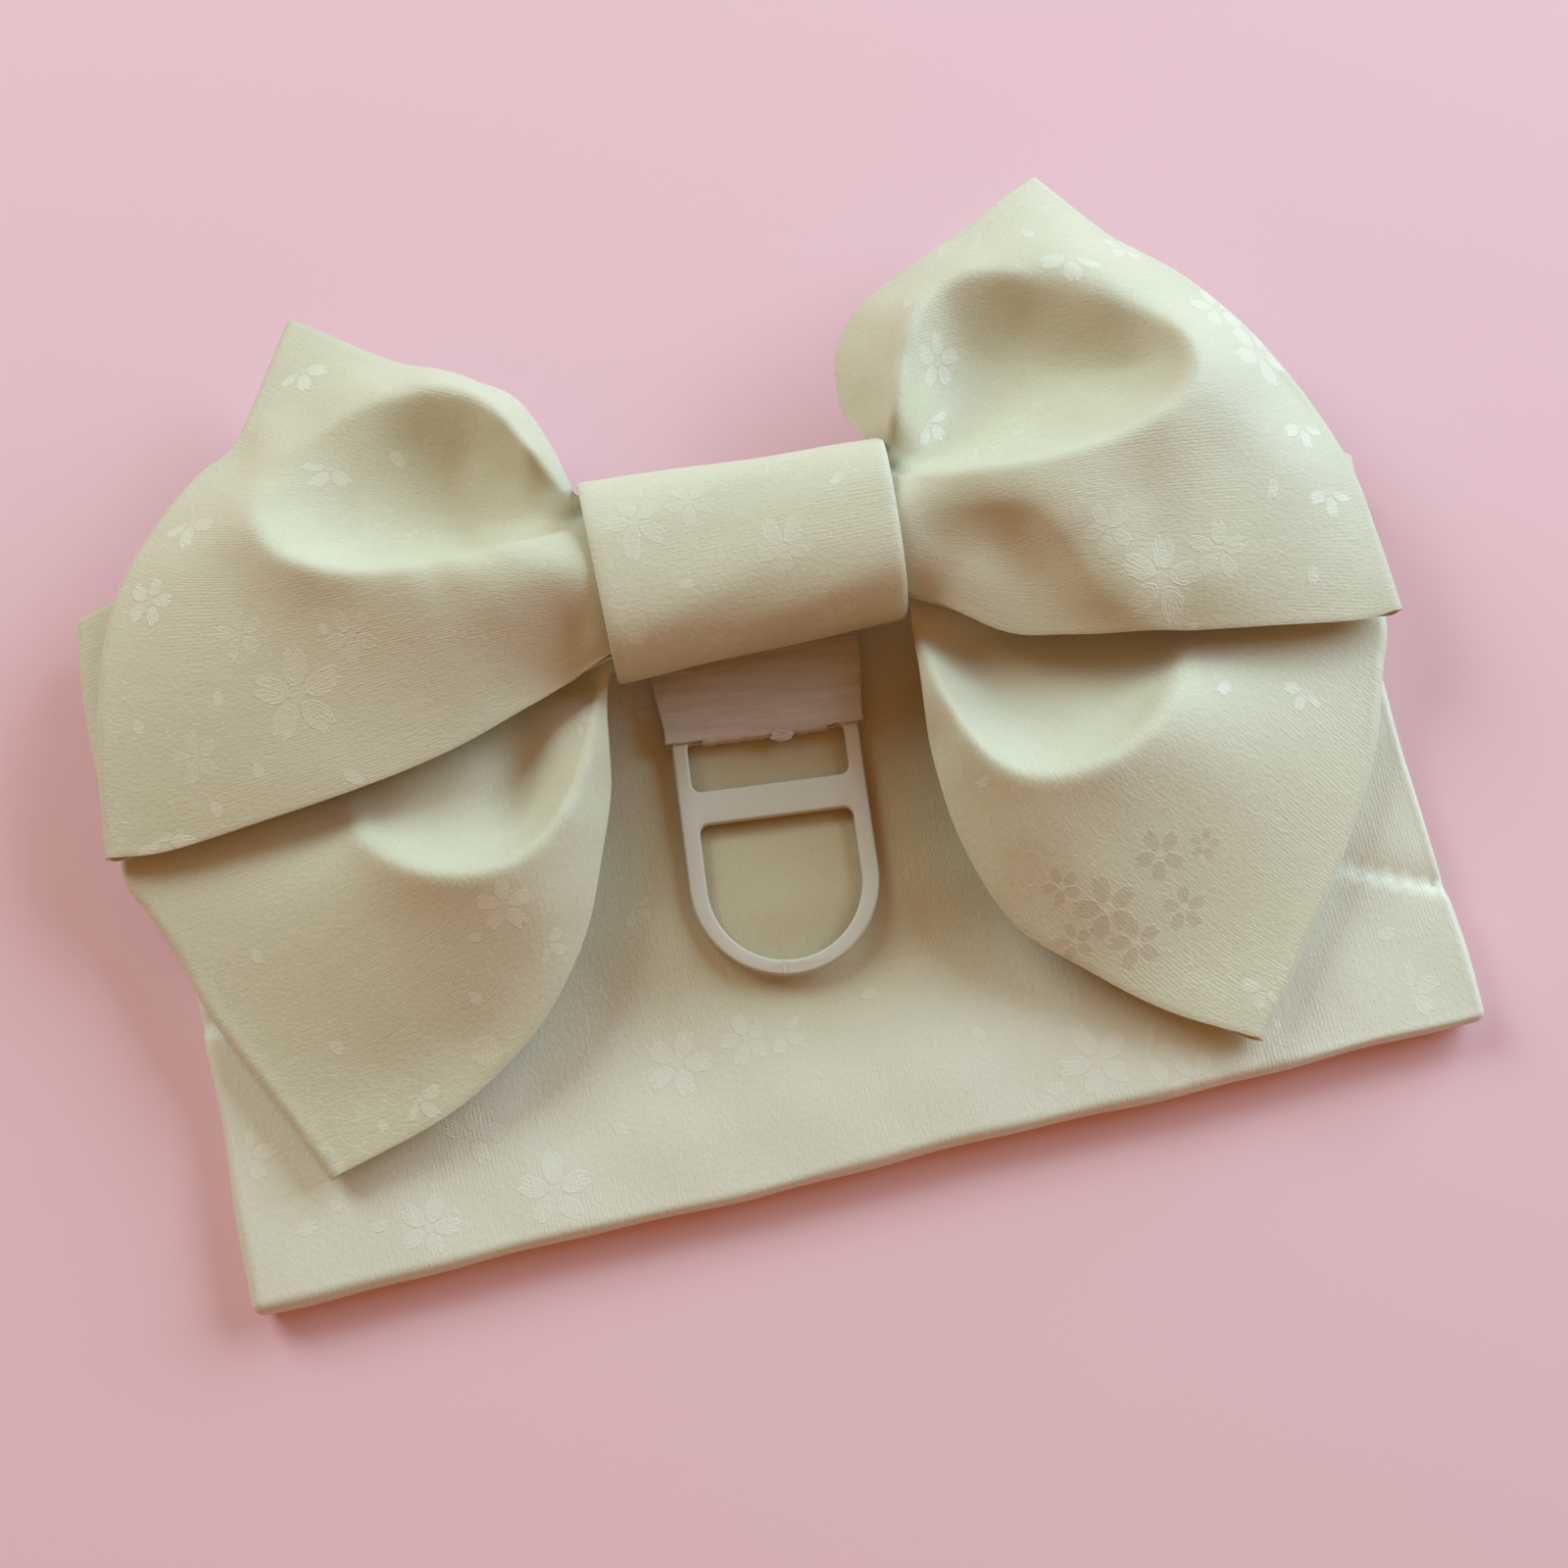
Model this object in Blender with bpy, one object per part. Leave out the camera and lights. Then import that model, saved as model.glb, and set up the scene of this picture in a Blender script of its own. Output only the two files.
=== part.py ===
"""Ready-tied obi set laid flat: a waist band folded in three, and on it a double bow.

The bow is two loops of cloth on each side, gathered into one wide knot band. A white plastic
hook hangs from a webbing tape under the knot. X runs along the folded band, Y from its lower
edge towards the top of the bow, Z up. Sizes are in millimetres until a mesh is made.
"""
import math
from collections import namedtuple

import bmesh
import bpy
import numpy as np
from mathutils import Vector
from mathutils.bvhtree import BVHTree

MM = 0.001

# Folded waist band
BELT_LENGTH = 347.0
BELT_WIDTH = 160.0
BELT_LAYERS = 3
BELT_LAYER = 3.7
BELT_CORNER = 7.0
BELT_ROUND = 0.7
BELT_GROOVE = 1.7
BELT_UNDERSIDE = 2.4
BELT_SHOULDER = 2.6
BELT_TOP_RINGS = (6, 14, 26, 40, 54, 66)
BELT_HEIGHT = BELT_LAYERS * BELT_LAYER

# Cloth of the bow: stiffened brocade, two plies thick
CLOTH = 1.8
SEAM_GAP = 0.3
STACK = 1.25 * CLOTH + 0.85
DRAPE_SLOPE = 0.25
BELLY = 12.0
END_FOLD = 2.4

# Knot band: a flattened tube round the gathered cloth, a little wider on the left
KNOT_BOTTOM = 17.6
KNOT_HEIGHT = 40.5
KNOT_WALL = 2.0
KNOT_SQUARENESS = 2.6

# Webbing tape, sewn under the knot band and looped through the hook
TAPE_WIDTH = 59.0
TAPE_THICKNESS = 1.1
TAPE_END = 168.0
TAPE_OPENING = 9.0
TAPE_SLACK = 0.4
TAPE_SHOULDER = 12.0

# Insertion hook
HOOK_WIDTH = 53.0
HOOK_LENGTH = 72.0
HOOK_THICKNESS = 3.0
HOOK_RAIL = 4.3
HOOK_CORNER = 2.6
HOOK_BAR_HALF = 2.5
HOOK_SLOT_END = 17.5
HOOK_HOLE_TOP = 27.0
HOOK_ROUND = 0.7
HOOK_TURN = math.radians(-5.8)
HOOK_TIP = math.radians(1.1)
HOOK_TOP = (-2.7, 127.8)

# Grid of each wing: steps inside the knot, along the front, round the end fold, along the back,
# and across
KNOT_STEPS = 3
FRONT_STEPS = 20
FOLD_STEPS = 3
BACK_STEPS = 9
ACROSS_STEPS = 20

# Searching for the cloth underneath: how far out, in how many directions
PROBE_REACHES = (3, 6, 9)
PROBE_TURNS = 8

Height = namedtuple("Height", "x y z")
Fold = namedtuple("Fold", "across z")
Wing = namedtuple("Wing", "name gather mouth front_top back_top bottom back_bottom end front back")
Crease = namedtuple("Crease", "side depth y slope width length")

# Soft creases that run in over the belt from its two folded ends
BELT_CREASES = (Crease(side=-1, depth=2.2, y=80, slope=0.0, width=7, length=53),
                Crease(side=1, depth=2.6, y=38, slope=0.12, width=7, length=63))

KNOT_ENDS = {-1: dict(x=-39.4, y=171.0, half=28.6, lean=0.02),
             1: dict(x=44.2, y=167.8, half=25.2, lean=0.09)}

# The gathers inside the knot band: across is a share of the band's inside half depth, from its
# upper side (1) to its lower side (-1), and z a height over the floor.
UPPER_GATHER = dict(
    front=[Fold(0.93, 41.2), Fold(0.82, 42.2), Fold(0.66, 42.0), Fold(0.45, 50.0),
           Fold(0.05, 53.3), Fold(-0.42, 51.2), Fold(-0.68, 46.0), Fold(-0.83, 41.0)],
    back=[Fold(0.9, 36.5), Fold(0.45, 37.0), Fold(-0.03, 38.5), Fold(-0.5, 38.0),
          Fold(-0.83, 36.0)])
LOWER_GATHER = dict(
    front=[Fold(0.84, 32.0), Fold(0.42, 33.5), Fold(-0.03, 34.5), Fold(-0.5, 34.5),
           Fold(-0.72, 34.0), Fold(-0.9, 32.0)],
    back=[Fold(0.8, 27.5), Fold(0.42, 23.2), Fold(-0.03, 21.8), Fold(-0.5, 22.8),
          Fold(-0.72, 25.3), Fold(-0.83, 28.0)])

# Outlines are lists of (x, y) from the knot outwards, and from the top corner down the end.
# Heights name what they follow: the edge, the ridge, the scoop above it and the broad face.
UPPER_LEFT = Wing(
    name="upper_left_wing",
    gather=UPPER_GATHER,
    mouth=(-40.2, -40.8),
    front_top=[(-40.4, 207), (-42, 217.5), (-51, 236), (-63, 246.5), (-80, 253.5), (-106, 271)],
    back_top=[(-42, 205), (-44, 216), (-53, 233.5), (-80, 250.5), (-106, 271)],
    bottom=[(-66, 140), (-89, 132.5), (-115, 128), (-149, 126.5), (-171, 126.5), (-185, 129)],
    back_bottom=[(-66, 143), (-89, 135.5), (-115, 131), (-149, 129), (-185, 129)],
    end=[(-106, 271), (-128, 237), (-140, 229.5), (-156.5, 214.5), (-168, 199.5),
         (-175.5, 181.5), (-181.5, 155.5), (-185, 129)],
    front=[
        # rim over the scoop
        Height(-51, 211, 51.5), Height(-62.5, 225.5, 54.5), Height(-76, 232.5, 53.5),
        Height(-95, 231, 48), Height(-118, 230.5, 42), Height(-138, 229.5, 35),
        # outer slope beyond the rim, and the flat corner
        Height(-42, 216, 40), Height(-51, 235, 38.5), Height(-64, 245, 37), Height(-80, 252, 34.5),
        Height(-50, 224, 44), Height(-64, 236, 44), Height(-82, 243, 40.5),
        Height(-106, 271, 27), Height(-100, 254, 33), Height(-112, 246, 34.5), Height(-122, 240, 34),
        # scoop
        Height(-47, 189, 43), Height(-50, 199, 43), Height(-58, 190, 42), Height(-62, 207, 40),
        Height(-72, 201, 36.5), Height(-85, 204, 37), Height(-97, 208, 40), Height(-112, 214, 41.5),
        # ridge below the scoop
        Height(-50, 182.5, 55.5), Height(-62, 182.5, 57.5), Height(-75, 182, 58.5),
        Height(-92, 184.5, 58.5), Height(-109, 193.5, 54.5), Height(-119, 201.5, 50),
        Height(-126, 207, 46),
        # broad face
        Height(-50, 166, 53.5), Height(-66, 165, 53), Height(-92, 170, 51), Height(-112, 180, 46),
        Height(-130, 190, 41.5), Height(-90, 150, 46), Height(-120, 150, 42), Height(-150, 180, 38),
        Height(-150, 150, 36.5),
        # dark trough by the knot
        Height(-50, 153, 44), Height(-66, 150, 44),
        # lower edge and end
        Height(-48, 147, 41), Height(-66, 140, 42.5), Height(-89, 132.5, 43), Height(-115, 128, 41.5),
        Height(-149, 126.5, 34), Height(-185, 129, 25), Height(-181, 155, 28), Height(-168, 199, 31),
        Height(-156, 214, 32),
    ],
    back=[Height(-45, 213, 36.5), Height(-55, 230, 34.5), Height(-80, 247, 30.5), Height(-90, 200, 35),
          Height(-70, 170, 36.5), Height(-100, 150, 34.5), Height(-66, 145, 37.5), Height(-115, 132, 33.5),
          Height(-140, 170, 30)],
)

LOWER_LEFT = Wing(
    name="lower_left_wing",
    gather=LOWER_GATHER,
    mouth=(-40.2, -40.8),
    front_top=[(-60, 196), (-100, 203), (-150, 209), (-183.5, 202)],
    back_top=[(-60, 196), (-100, 203), (-150, 209), (-183.5, 202)],
    bottom=[(-44, 141), (-48.5, 116), (-55, 98), (-63.5, 79), (-77, 61), (-92, 49),
            (-112, 39), (-142, 31)],
    back_bottom=[(-48, 141), (-52, 116), (-58, 98), (-66, 80), (-79, 63), (-94, 51),
                 (-114, 41), (-142, 31)],
    end=[(-183.5, 202), (-185.5, 174), (-183.5, 129), (-178, 115), (-172, 101), (-166, 82),
         (-154, 57), (-142, 31)],
    front=[
        # narrow ridge down from the knot
        Height(-44.5, 150, 34), Height(-48.5, 136, 36), Height(-53.5, 121, 39), Height(-62, 107.5, 41.5),
        # lip of the scoop
        Height(-75, 101.5, 42.5), Height(-88, 99, 42.5), Height(-98, 101.5, 41.5), Height(-107, 107, 39),
        Height(-114, 115, 34.5), Height(-118, 124, 30),
        # scoop
        Height(-60, 138, 24), Height(-66, 126, 20), Height(-70, 115, 22), Height(-84, 111, 25),
        Height(-98, 115, 25), Height(-85, 124, 19.5), Height(-105, 121, 25),
        # face under the upper wing
        Height(-60, 165, 29), Height(-90, 160, 24), Height(-125, 160, 24), Height(-60, 190, 28),
        Height(-100, 196, 22), Height(-150, 150, 23), Height(-150, 195, 19),
        # broad face
        Height(-72, 86, 35), Height(-90, 84, 35.5), Height(-112, 92, 34), Height(-132, 112, 29.5),
        Height(-92, 66, 29), Height(-115, 66, 28), Height(-140, 85, 25.5), Height(-130, 50, 22),
        Height(-160, 120, 23),
        # lower edge and end
        Height(-43.5, 142, 28), Height(-48.5, 116, 28), Height(-55, 98, 28), Height(-63.5, 79, 26),
        Height(-77, 61, 24), Height(-92, 49, 22), Height(-112, 39, 20), Height(-142, 31, 18.6),
        Height(-154, 57, 18.6), Height(-166, 82, 18.6), Height(-178, 115, 18.6), Height(-185, 150, 17),
        Height(-183.5, 202, 15),
    ],
    back=[Height(-60, 190, 20), Height(-100, 200, 15), Height(-80, 150, 15), Height(-120, 120, 13.5),
          Height(-80, 100, 13.5), Height(-60, 120, 14), Height(-140, 170, 13.5), Height(-60, 90, 14),
          Height(-90, 60, 14)],
)

UPPER_RIGHT = Wing(
    name="upper_right_wing",
    gather=UPPER_GATHER,
    mouth=(47.8, 43.2),
    front_top=[(46.2, 199), (42.6, 206), (41.8, 215), (48.2, 229), (61.4, 239), (81, 246), (110, 262)],
    back_top=[(49.2, 197), (46.5, 204), (45, 213), (50, 226), (62, 236), (82, 243), (110, 262)],
    bottom=[(65, 132.5), (83, 128), (115.5, 120.5), (144, 117), (171, 115), (179, 118)],
    back_bottom=[(65, 136), (83, 131), (115.5, 123.5), (144, 120), (179, 118)],
    end=[(110, 262), (124, 240.5), (145, 218.5), (165, 187), (175.5, 160), (178.5, 138), (179, 118)],
    front=[
        # rim over the scoop
        Height(52.5, 199, 49.5), Height(57, 209.5, 53), Height(68, 225, 52.5), Height(83, 232, 51),
        Height(97, 231.5, 50.5), Height(108, 223, 50), Height(121, 213, 50.5),
        # outer slope beyond the rim, and the corner
        Height(42, 214, 40), Height(48, 228, 39.5), Height(46, 204, 42), Height(61, 238, 40.5),
        Height(49, 216, 44), Height(58, 230, 45.5), Height(81, 244, 41), Height(72, 238, 45),
        Height(92, 240, 45), Height(110, 262, 28), Height(104, 248, 39), Height(116, 240, 41),
        # scoop
        Height(53, 181, 43), Height(62, 190, 39), Height(74, 202, 34.5), Height(90, 206, 34),
        Height(106, 202, 35.5), Height(120, 197, 40), Height(70, 184, 44), Height(90, 184, 46),
        # ridge below and round the scoop
        Height(58, 173.5, 56.5), Height(76, 173.5, 58.5), Height(95, 173.5, 59), Height(110, 176, 58.5),
        Height(123, 180.5, 57.5), Height(132, 186, 56), Height(136, 194, 54.5), Height(133, 204, 52),
        # broad face
        Height(60, 165, 53), Height(85, 160, 51), Height(110, 160, 51), Height(135, 165, 49),
        Height(150, 190, 44), Height(140, 212, 41), Height(155, 160, 42), Height(140, 140, 43),
        # recess by the knot
        Height(60, 152, 42.5), Height(72, 147, 41.5), Height(82, 145, 41.5), Height(92, 134, 41.5),
        Height(98, 152, 49), Height(110, 141, 46.5), Height(124, 131, 43.5),
        # lower edge and end
        Height(50, 139, 41), Height(65, 132.5, 43), Height(83, 128, 43.5), Height(115.5, 120.5, 41),
        Height(144, 117, 35.5), Height(171, 115, 28), Height(179, 118, 27), Height(178, 140, 30),
        Height(165, 187, 34), Height(145, 218.5, 36), Height(124, 240.5, 35),
    ],
    back=[Height(46, 214, 36.5), Height(54, 229, 36), Height(81, 240, 33), Height(80, 200, 32),
          Height(70, 165, 37), Height(100, 150, 35.5), Height(66, 138, 37.5), Height(115, 125, 34.5),
          Height(140, 160, 32)],
)

LOWER_RIGHT = Wing(
    name="lower_right_wing",
    gather=LOWER_GATHER,
    mouth=(46.4, 43.2),
    front_top=[(60, 190), (100, 190), (150, 184), (183, 168)],
    back_top=[(60, 190), (100, 190), (150, 184), (183, 168)],
    bottom=[(44.5, 141), (43.5, 130), (40.5, 107), (41.5, 81), (50, 55), (67.5, 37), (85.5, 22),
            (106.5, 10)],
    back_bottom=[(48.5, 140), (47.5, 126), (44.5, 107), (44.5, 82), (52.5, 57), (69, 39),
                 (86.5, 24), (106.5, 10)],
    end=[(183, 168), (179.5, 145), (175.5, 117), (170, 103), (159.5, 80), (141, 52), (121, 27),
         (106.5, 10)],
    front=[
        # narrow ridge down from the knot
        Height(47.5, 141, 34), Height(47.5, 128, 37), Height(49.5, 116, 39.5), Height(52, 105, 41.5),
        # lip of the scoop
        Height(60.5, 93, 43), Height(70, 88, 43.5), Height(83, 86.5, 43.5), Height(97, 90, 42.5),
        Height(107, 98, 39.5), Height(113, 108, 34), Height(115, 118, 29),
        # scoop
        Height(58, 130, 22), Height(63, 114, 23), Height(76, 102, 26), Height(91, 104, 26),
        Height(82, 116, 19.5), Height(100, 112, 24), Height(72, 124, 19),
        # face under the upper wing
        Height(62, 160, 29), Height(92, 150, 24), Height(125, 150, 24), Height(62, 186, 27),
        Height(100, 184, 22), Height(150, 150, 22), Height(150, 176, 19), Height(135, 125, 25),
        # broad face
        Height(58, 76, 35.5), Height(78, 72, 35), Height(100, 76, 34), Height(122, 92, 31),
        Height(72, 54, 29), Height(96, 50, 28), Height(122, 66, 27), Height(143, 92, 24.5),
        Height(108, 32, 22),
        # lower edge and end
        Height(44.5, 141, 28), Height(40.5, 107, 28), Height(41.5, 81, 27), Height(50, 55, 24),
        Height(67.5, 37, 22), Height(85.5, 22, 20), Height(106.5, 10, 18.6), Height(121, 27, 18.6),
        Height(141, 52, 18.6), Height(159.5, 80, 18.6), Height(170, 103, 18.6), Height(177, 130, 17),
        Height(183, 168, 15),
    ],
    back=[Height(60, 186, 20), Height(100, 188, 15), Height(80, 145, 15), Height(120, 115, 13.5),
          Height(80, 95, 13.5), Height(55, 115, 14), Height(140, 150, 13.5), Height(55, 85, 14),
          Height(80, 55, 14)],
)


def even_points(corners, steps):
    """steps + 1 points, evenly spaced along a smooth curve through the corners."""
    corners = np.array(corners, dtype=float)
    before = 2 * corners[0] - corners[1]
    after = 2 * corners[-1] - corners[-2]
    padded = np.vstack([before, corners, after])
    fine = []
    for a, b, c, d in zip(padded, padded[1:], padded[2:], padded[3:]):
        for u in np.linspace(0, 1, 24, endpoint=False):
            fine.append(0.5 * (2 * b + (c - a) * u + (2 * a - 5 * b + 4 * c - d) * u ** 2
                               + (3 * b - a - 3 * c + d) * u ** 3))
    fine = np.array(fine + [corners[-1]])
    run = np.concatenate([[0], np.cumsum(np.linalg.norm(np.diff(fine, axis=0), axis=1))])
    wanted = np.linspace(0, run[-1], steps + 1)
    return np.column_stack([np.interp(wanted, run, column) for column in fine.T])


def patch(top, bottom, end, steps):
    """Plan grid inside an outline: rows from the knot to the end, columns from top to bottom."""
    end = even_points(end, ACROSS_STEPS)
    s = np.linspace(-KNOT_STEPS / steps, 1, KNOT_STEPS + steps + 1).clip(0)[:, None, None]
    t = np.linspace(0, 1, ACROSS_STEPS + 1)[None, :, None]
    knot = top[0] * (1 - t) + bottom[0] * t
    across = top[:, None] * (1 - t) + bottom[:, None] * t
    along = knot * (1 - s) + end[None] * s
    corners = ((top[0] * (1 - t) + bottom[0] * t) * (1 - s)
               + (top[-1] * (1 - t) + bottom[-1] * t) * s)
    belly = math.copysign(BELLY, end[0][0]) * 4 * s * (1 - s) * np.sqrt(4 * t * (1 - t))
    return across + along - corners + belly * np.array([1, 0])


class Relief:
    """Smooth height over a plan, like a thin plate bent through the given heights."""

    def __init__(self, heights):
        rows = np.array(heights, dtype=float)
        self.places = rows[:, :2]
        count = len(rows)
        plane = np.column_stack([np.ones(count), self.places])
        system = np.zeros((count + 3, count + 3))
        system[:count, :count] = self.bend(self.places)
        system[:count, count:] = plane
        system[count:, :count] = plane.T
        self.weights = np.linalg.solve(system, np.concatenate([rows[:, 2], np.zeros(3)]))

    def bend(self, places):
        reach = np.linalg.norm(places[:, None] - self.places[None], axis=2)
        return reach ** 2 * np.log(reach + 1e-9)

    def __call__(self, plan):
        flat = plan.reshape(-1, 2)
        plane = np.column_stack([np.ones(len(flat)), flat])
        heights = np.column_stack([self.bend(flat), plane]) @ self.weights
        return heights.reshape(plan.shape[:-1])


def knot_inside(x):
    """Middle and half depth of the knot band's inside at a place along it."""
    left, right = KNOT_ENDS[-1], KNOT_ENDS[1]
    share = (x - left["x"]) / (right["x"] - left["x"])
    middle = left["y"] + (right["y"] - left["y"]) * share
    half = left["half"] + (right["half"] - left["half"]) * share - KNOT_WALL
    return middle, half


def gather_rows(wing, folds):
    """The gather keeps its folds from the middle of the knot to its mouth."""
    top, bottom = wing.mouth
    rows = []
    for share in (0, 0.35, 0.7, 1):
        for fold in folds:
            x = share * (bottom + (top - bottom) * (fold.across + 1) / 2)
            middle, half = knot_inside(x)
            rows.append(Height(x, middle + fold.across * half, fold.z))
    return rows


def edge_points(mouth, fold, outline, steps):
    """Edge of a layer: straight through the knot band, then along the outline."""
    inside = []
    for share in np.linspace(0, 1, KNOT_STEPS + 1):
        x = math.copysign(SEAM_GAP, mouth) * (1 - share) + mouth * share
        middle, half = knot_inside(x)
        inside.append((x, middle + fold.across * half))
    return np.vstack([inside[:-1], even_points([inside[-1]] + outline, steps)])


def tree_of(grid):
    """Search tree over a grid of points, for finding what lies under a place."""
    rows, columns = grid.shape[:2]
    faces = []
    for i in range(rows - 1):
        for j in range(columns - 1):
            a = i * columns + j
            faces.append((a, a + 1, a + columns + 1, a + columns))
    return BVHTree.FromPolygons([Vector(p) for p in grid.reshape(-1, 3)], faces)


def lie_over(grid, tree, spacing):
    """Raises a grid of points until it lies clear of the surface under it."""
    down = Vector((0, 0, -1))
    probes = [(0, 0)]
    for reach in PROBE_REACHES:
        for turn in range(PROBE_TURNS):
            angle = math.tau * turn / PROBE_TURNS
            probes.append((reach * math.cos(angle), reach * math.sin(angle)))
    for point in grid.reshape(-1, 3):
        for dx, dy in probes:
            hit = tree.ray_cast(Vector((point[0] + dx, point[1] + dy, 200)), down)[0]
            if hit:
                point[2] = max(point[2], hit.z + spacing - DRAPE_SLOPE * math.hypot(dx, dy))


def wing_layers(wing, under):
    """Middle surfaces of a wing's front and back layers, clear of what is under them."""
    top, bottom = wing.mouth
    folds = wing.gather["front"]
    front_plan = patch(edge_points(top, folds[0], wing.front_top, FRONT_STEPS),
                       edge_points(bottom, folds[-1], wing.bottom, FRONT_STEPS),
                       wing.end, FRONT_STEPS)
    front_relief = Relief(gather_rows(wing, folds) + wing.front)
    folds = wing.gather["back"]
    back_plan = patch(edge_points(top, folds[0], wing.back_top, BACK_STEPS),
                      edge_points(bottom, folds[-1], wing.back_bottom, BACK_STEPS),
                      wing.end, BACK_STEPS)
    ends = even_points(wing.end, 6)
    end_heights = front_relief(ends) - 2 * END_FOLD
    fold_rows = [Height(x, y, z) for (x, y), z in zip(ends, end_heights)]
    back_relief = Relief(gather_rows(wing, folds) + wing.back + fold_rows)
    front = np.dstack([front_plan, front_relief(front_plan)])
    back = np.dstack([back_plan, back_relief(back_plan)])
    for tree in under:
        lie_over(back, tree, STACK)
    lie_over(front, tree_of(back), STACK)
    front[-1, :, 2] = np.maximum(front[-1, :, 2], back[-1, :, 2] + 2 * END_FOLD)
    return front, back


def end_fold(front, back):
    """Rows of points that turn from the front layer down into the back layer."""
    rim_front = front[-1]
    rim_back = back[-1]
    outward = rim_front - front[-2]
    outward[:, 2] = 0
    outward /= np.linalg.norm(outward, axis=1)[:, None]
    middle = (rim_front + rim_back) / 2
    half = (rim_front - rim_back) / 2
    rows = []
    for step in range(1, FOLD_STEPS + 1):
        angle = math.pi * step / (FOLD_STEPS + 1)
        rows.append(middle + half * math.cos(angle) + outward * END_FOLD * math.sin(angle))
    return np.array(rows)


def grid_mesh(name, grid):
    """One sheet through a grid of millimetre points, split where it bends least."""
    bm = bmesh.new()
    rows, columns = grid.shape[:2]
    verts = [[bm.verts.new(Vector(grid[i, j]) * MM) for j in range(columns)] for i in range(rows)]
    for i in range(rows - 1):
        for j in range(columns - 1):
            bm.faces.new((verts[i][j], verts[i][j + 1], verts[i + 1][j + 1], verts[i + 1][j]))
    bmesh.ops.triangulate(bm, faces=bm.faces, quad_method='SHORT_EDGE')
    return finish_mesh(name, bm)


def finish_mesh(name, bm):
    bmesh.ops.recalc_face_normals(bm, faces=bm.faces)
    mesh = bpy.data.meshes.new(name)
    bm.to_mesh(mesh)
    bm.free()
    mesh.shade_smooth()
    mesh.set_sharp_from_angle(angle=math.radians(50))
    obj = bpy.data.objects.new(name, mesh)
    bpy.context.collection.objects.link(obj)
    return obj


def material(name, colour, roughness):
    mat = bpy.data.materials.new(name)
    mat.use_nodes = True
    shader = mat.node_tree.nodes["Principled BSDF"]
    shader.inputs["Base Color"].default_value = (*colour, 1)
    shader.inputs["Roughness"].default_value = roughness
    shader.inputs["Metallic"].default_value = 0
    return mat


def thicken(obj, wall):
    solid = obj.modifiers.new("wall", 'SOLIDIFY')
    solid.thickness = wall * MM
    solid.offset = 0
    solid.use_quality_normals = True


def make_wing(wing, under):
    front, back = wing_layers(wing, under)
    loop = np.concatenate([front, end_fold(front, back), back[::-1]])
    obj = grid_mesh(wing.name, loop)
    thicken(obj, CLOTH)
    return obj, tree_of(front)


def belt_crease(x, y):
    """Depth of the creases at a place on the belt; each fades out inwards from its end."""
    sunk = 0
    for crease in BELT_CREASES:
        inward = BELT_LENGTH / 2 - crease.side * x
        off_line = (y - crease.y - crease.slope * inward) / crease.width
        fade = max(0, 1 - inward / crease.length)
        sunk += crease.depth * fade ** 2 * math.exp(-off_line ** 2)
    return sunk


def belt_outline(inset):
    """Points round the folded band, in from its edge."""
    half_x = BELT_LENGTH / 2 - inset
    half_y = BELT_WIDTH / 2 - inset
    radius = max(BELT_CORNER - inset, 0.4 * min(half_y, BELT_CORNER))
    corners = [(1, 1, 0), (-1, 1, 1), (-1, -1, 2), (1, -1, 3)]
    along = {0: 14, 1: 7, 2: 14, 3: 7}
    points = []
    for sx, sy, quarter in corners:
        centre = Vector((sx * (half_x - radius), sy * (half_y - radius)))
        for step in range(4):
            angle = math.pi / 2 * (quarter + step / 3)
            points.append(centre + radius * Vector((math.cos(angle), math.sin(angle))))
        next_x, next_y = corners[(quarter + 1) % 4][:2]
        following = Vector((next_x * (half_x - radius), next_y * (half_y - radius)))
        angle = math.pi / 2 * (quarter + 1)
        start = points[-1]
        finish = following + radius * Vector((math.cos(angle), math.sin(angle)))
        for step in range(1, along[quarter]):
            points.append(start.lerp(finish, step / along[quarter]))
    return [(p.x, p.y + BELT_WIDTH / 2) for p in points]


def belt_rings():
    """Inset and height of each ring: up the layered side, then in over the top."""
    rings = [(BELT_UNDERSIDE, 0)]
    for layer in range(BELT_LAYERS):
        base = layer * BELT_LAYER
        rings.append((BELT_ROUND, base + 0.25 * BELT_LAYER))
        rings.append((0.0, base + 0.5 * BELT_LAYER))
        rings.append((BELT_ROUND, base + 0.75 * BELT_LAYER))
        if layer < BELT_LAYERS - 1:
            rings.append((BELT_GROOVE, base + BELT_LAYER))
    rings.append((BELT_SHOULDER, BELT_HEIGHT - 0.15))
    for inset in BELT_TOP_RINGS:
        rings.append((inset, BELT_HEIGHT))
    return rings


def make_belt():
    bm = bmesh.new()
    loops = []
    for inset, z in belt_rings():
        loop = []
        for x, y in belt_outline(inset):
            sunk = belt_crease(x, y) * z / BELT_HEIGHT
            loop.append(bm.verts.new(Vector((x, y, z - sunk)) * MM))
        loops.append(loop)
    for lower, upper in zip(loops, loops[1:]):
        for i in range(len(lower)):
            j = (i + 1) % len(lower)
            bm.faces.new((lower[i], lower[j], upper[j], upper[i]))
    bm.faces.new(reversed(loops[0]))
    bm.faces.new(loops[-1])
    return finish_mesh("belt", bm)


def knot_section(end, shrink):
    """Ring of points round the knot band at one of its ends."""
    points = []
    half_y = end["half"] - shrink
    half_z = KNOT_HEIGHT / 2 - shrink
    power = 2 / KNOT_SQUARENESS
    for step in range(48):
        angle = math.tau * step / 48
        c = math.cos(angle)
        s = math.sin(angle)
        y = half_y * math.copysign(abs(c) ** power, c)
        z = half_z * math.copysign(abs(s) ** power, s)
        points.append(Vector((end["x"] + end["lean"] * y, end["y"] + y,
                              KNOT_BOTTOM + KNOT_HEIGHT / 2 + z)))
    return points


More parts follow.
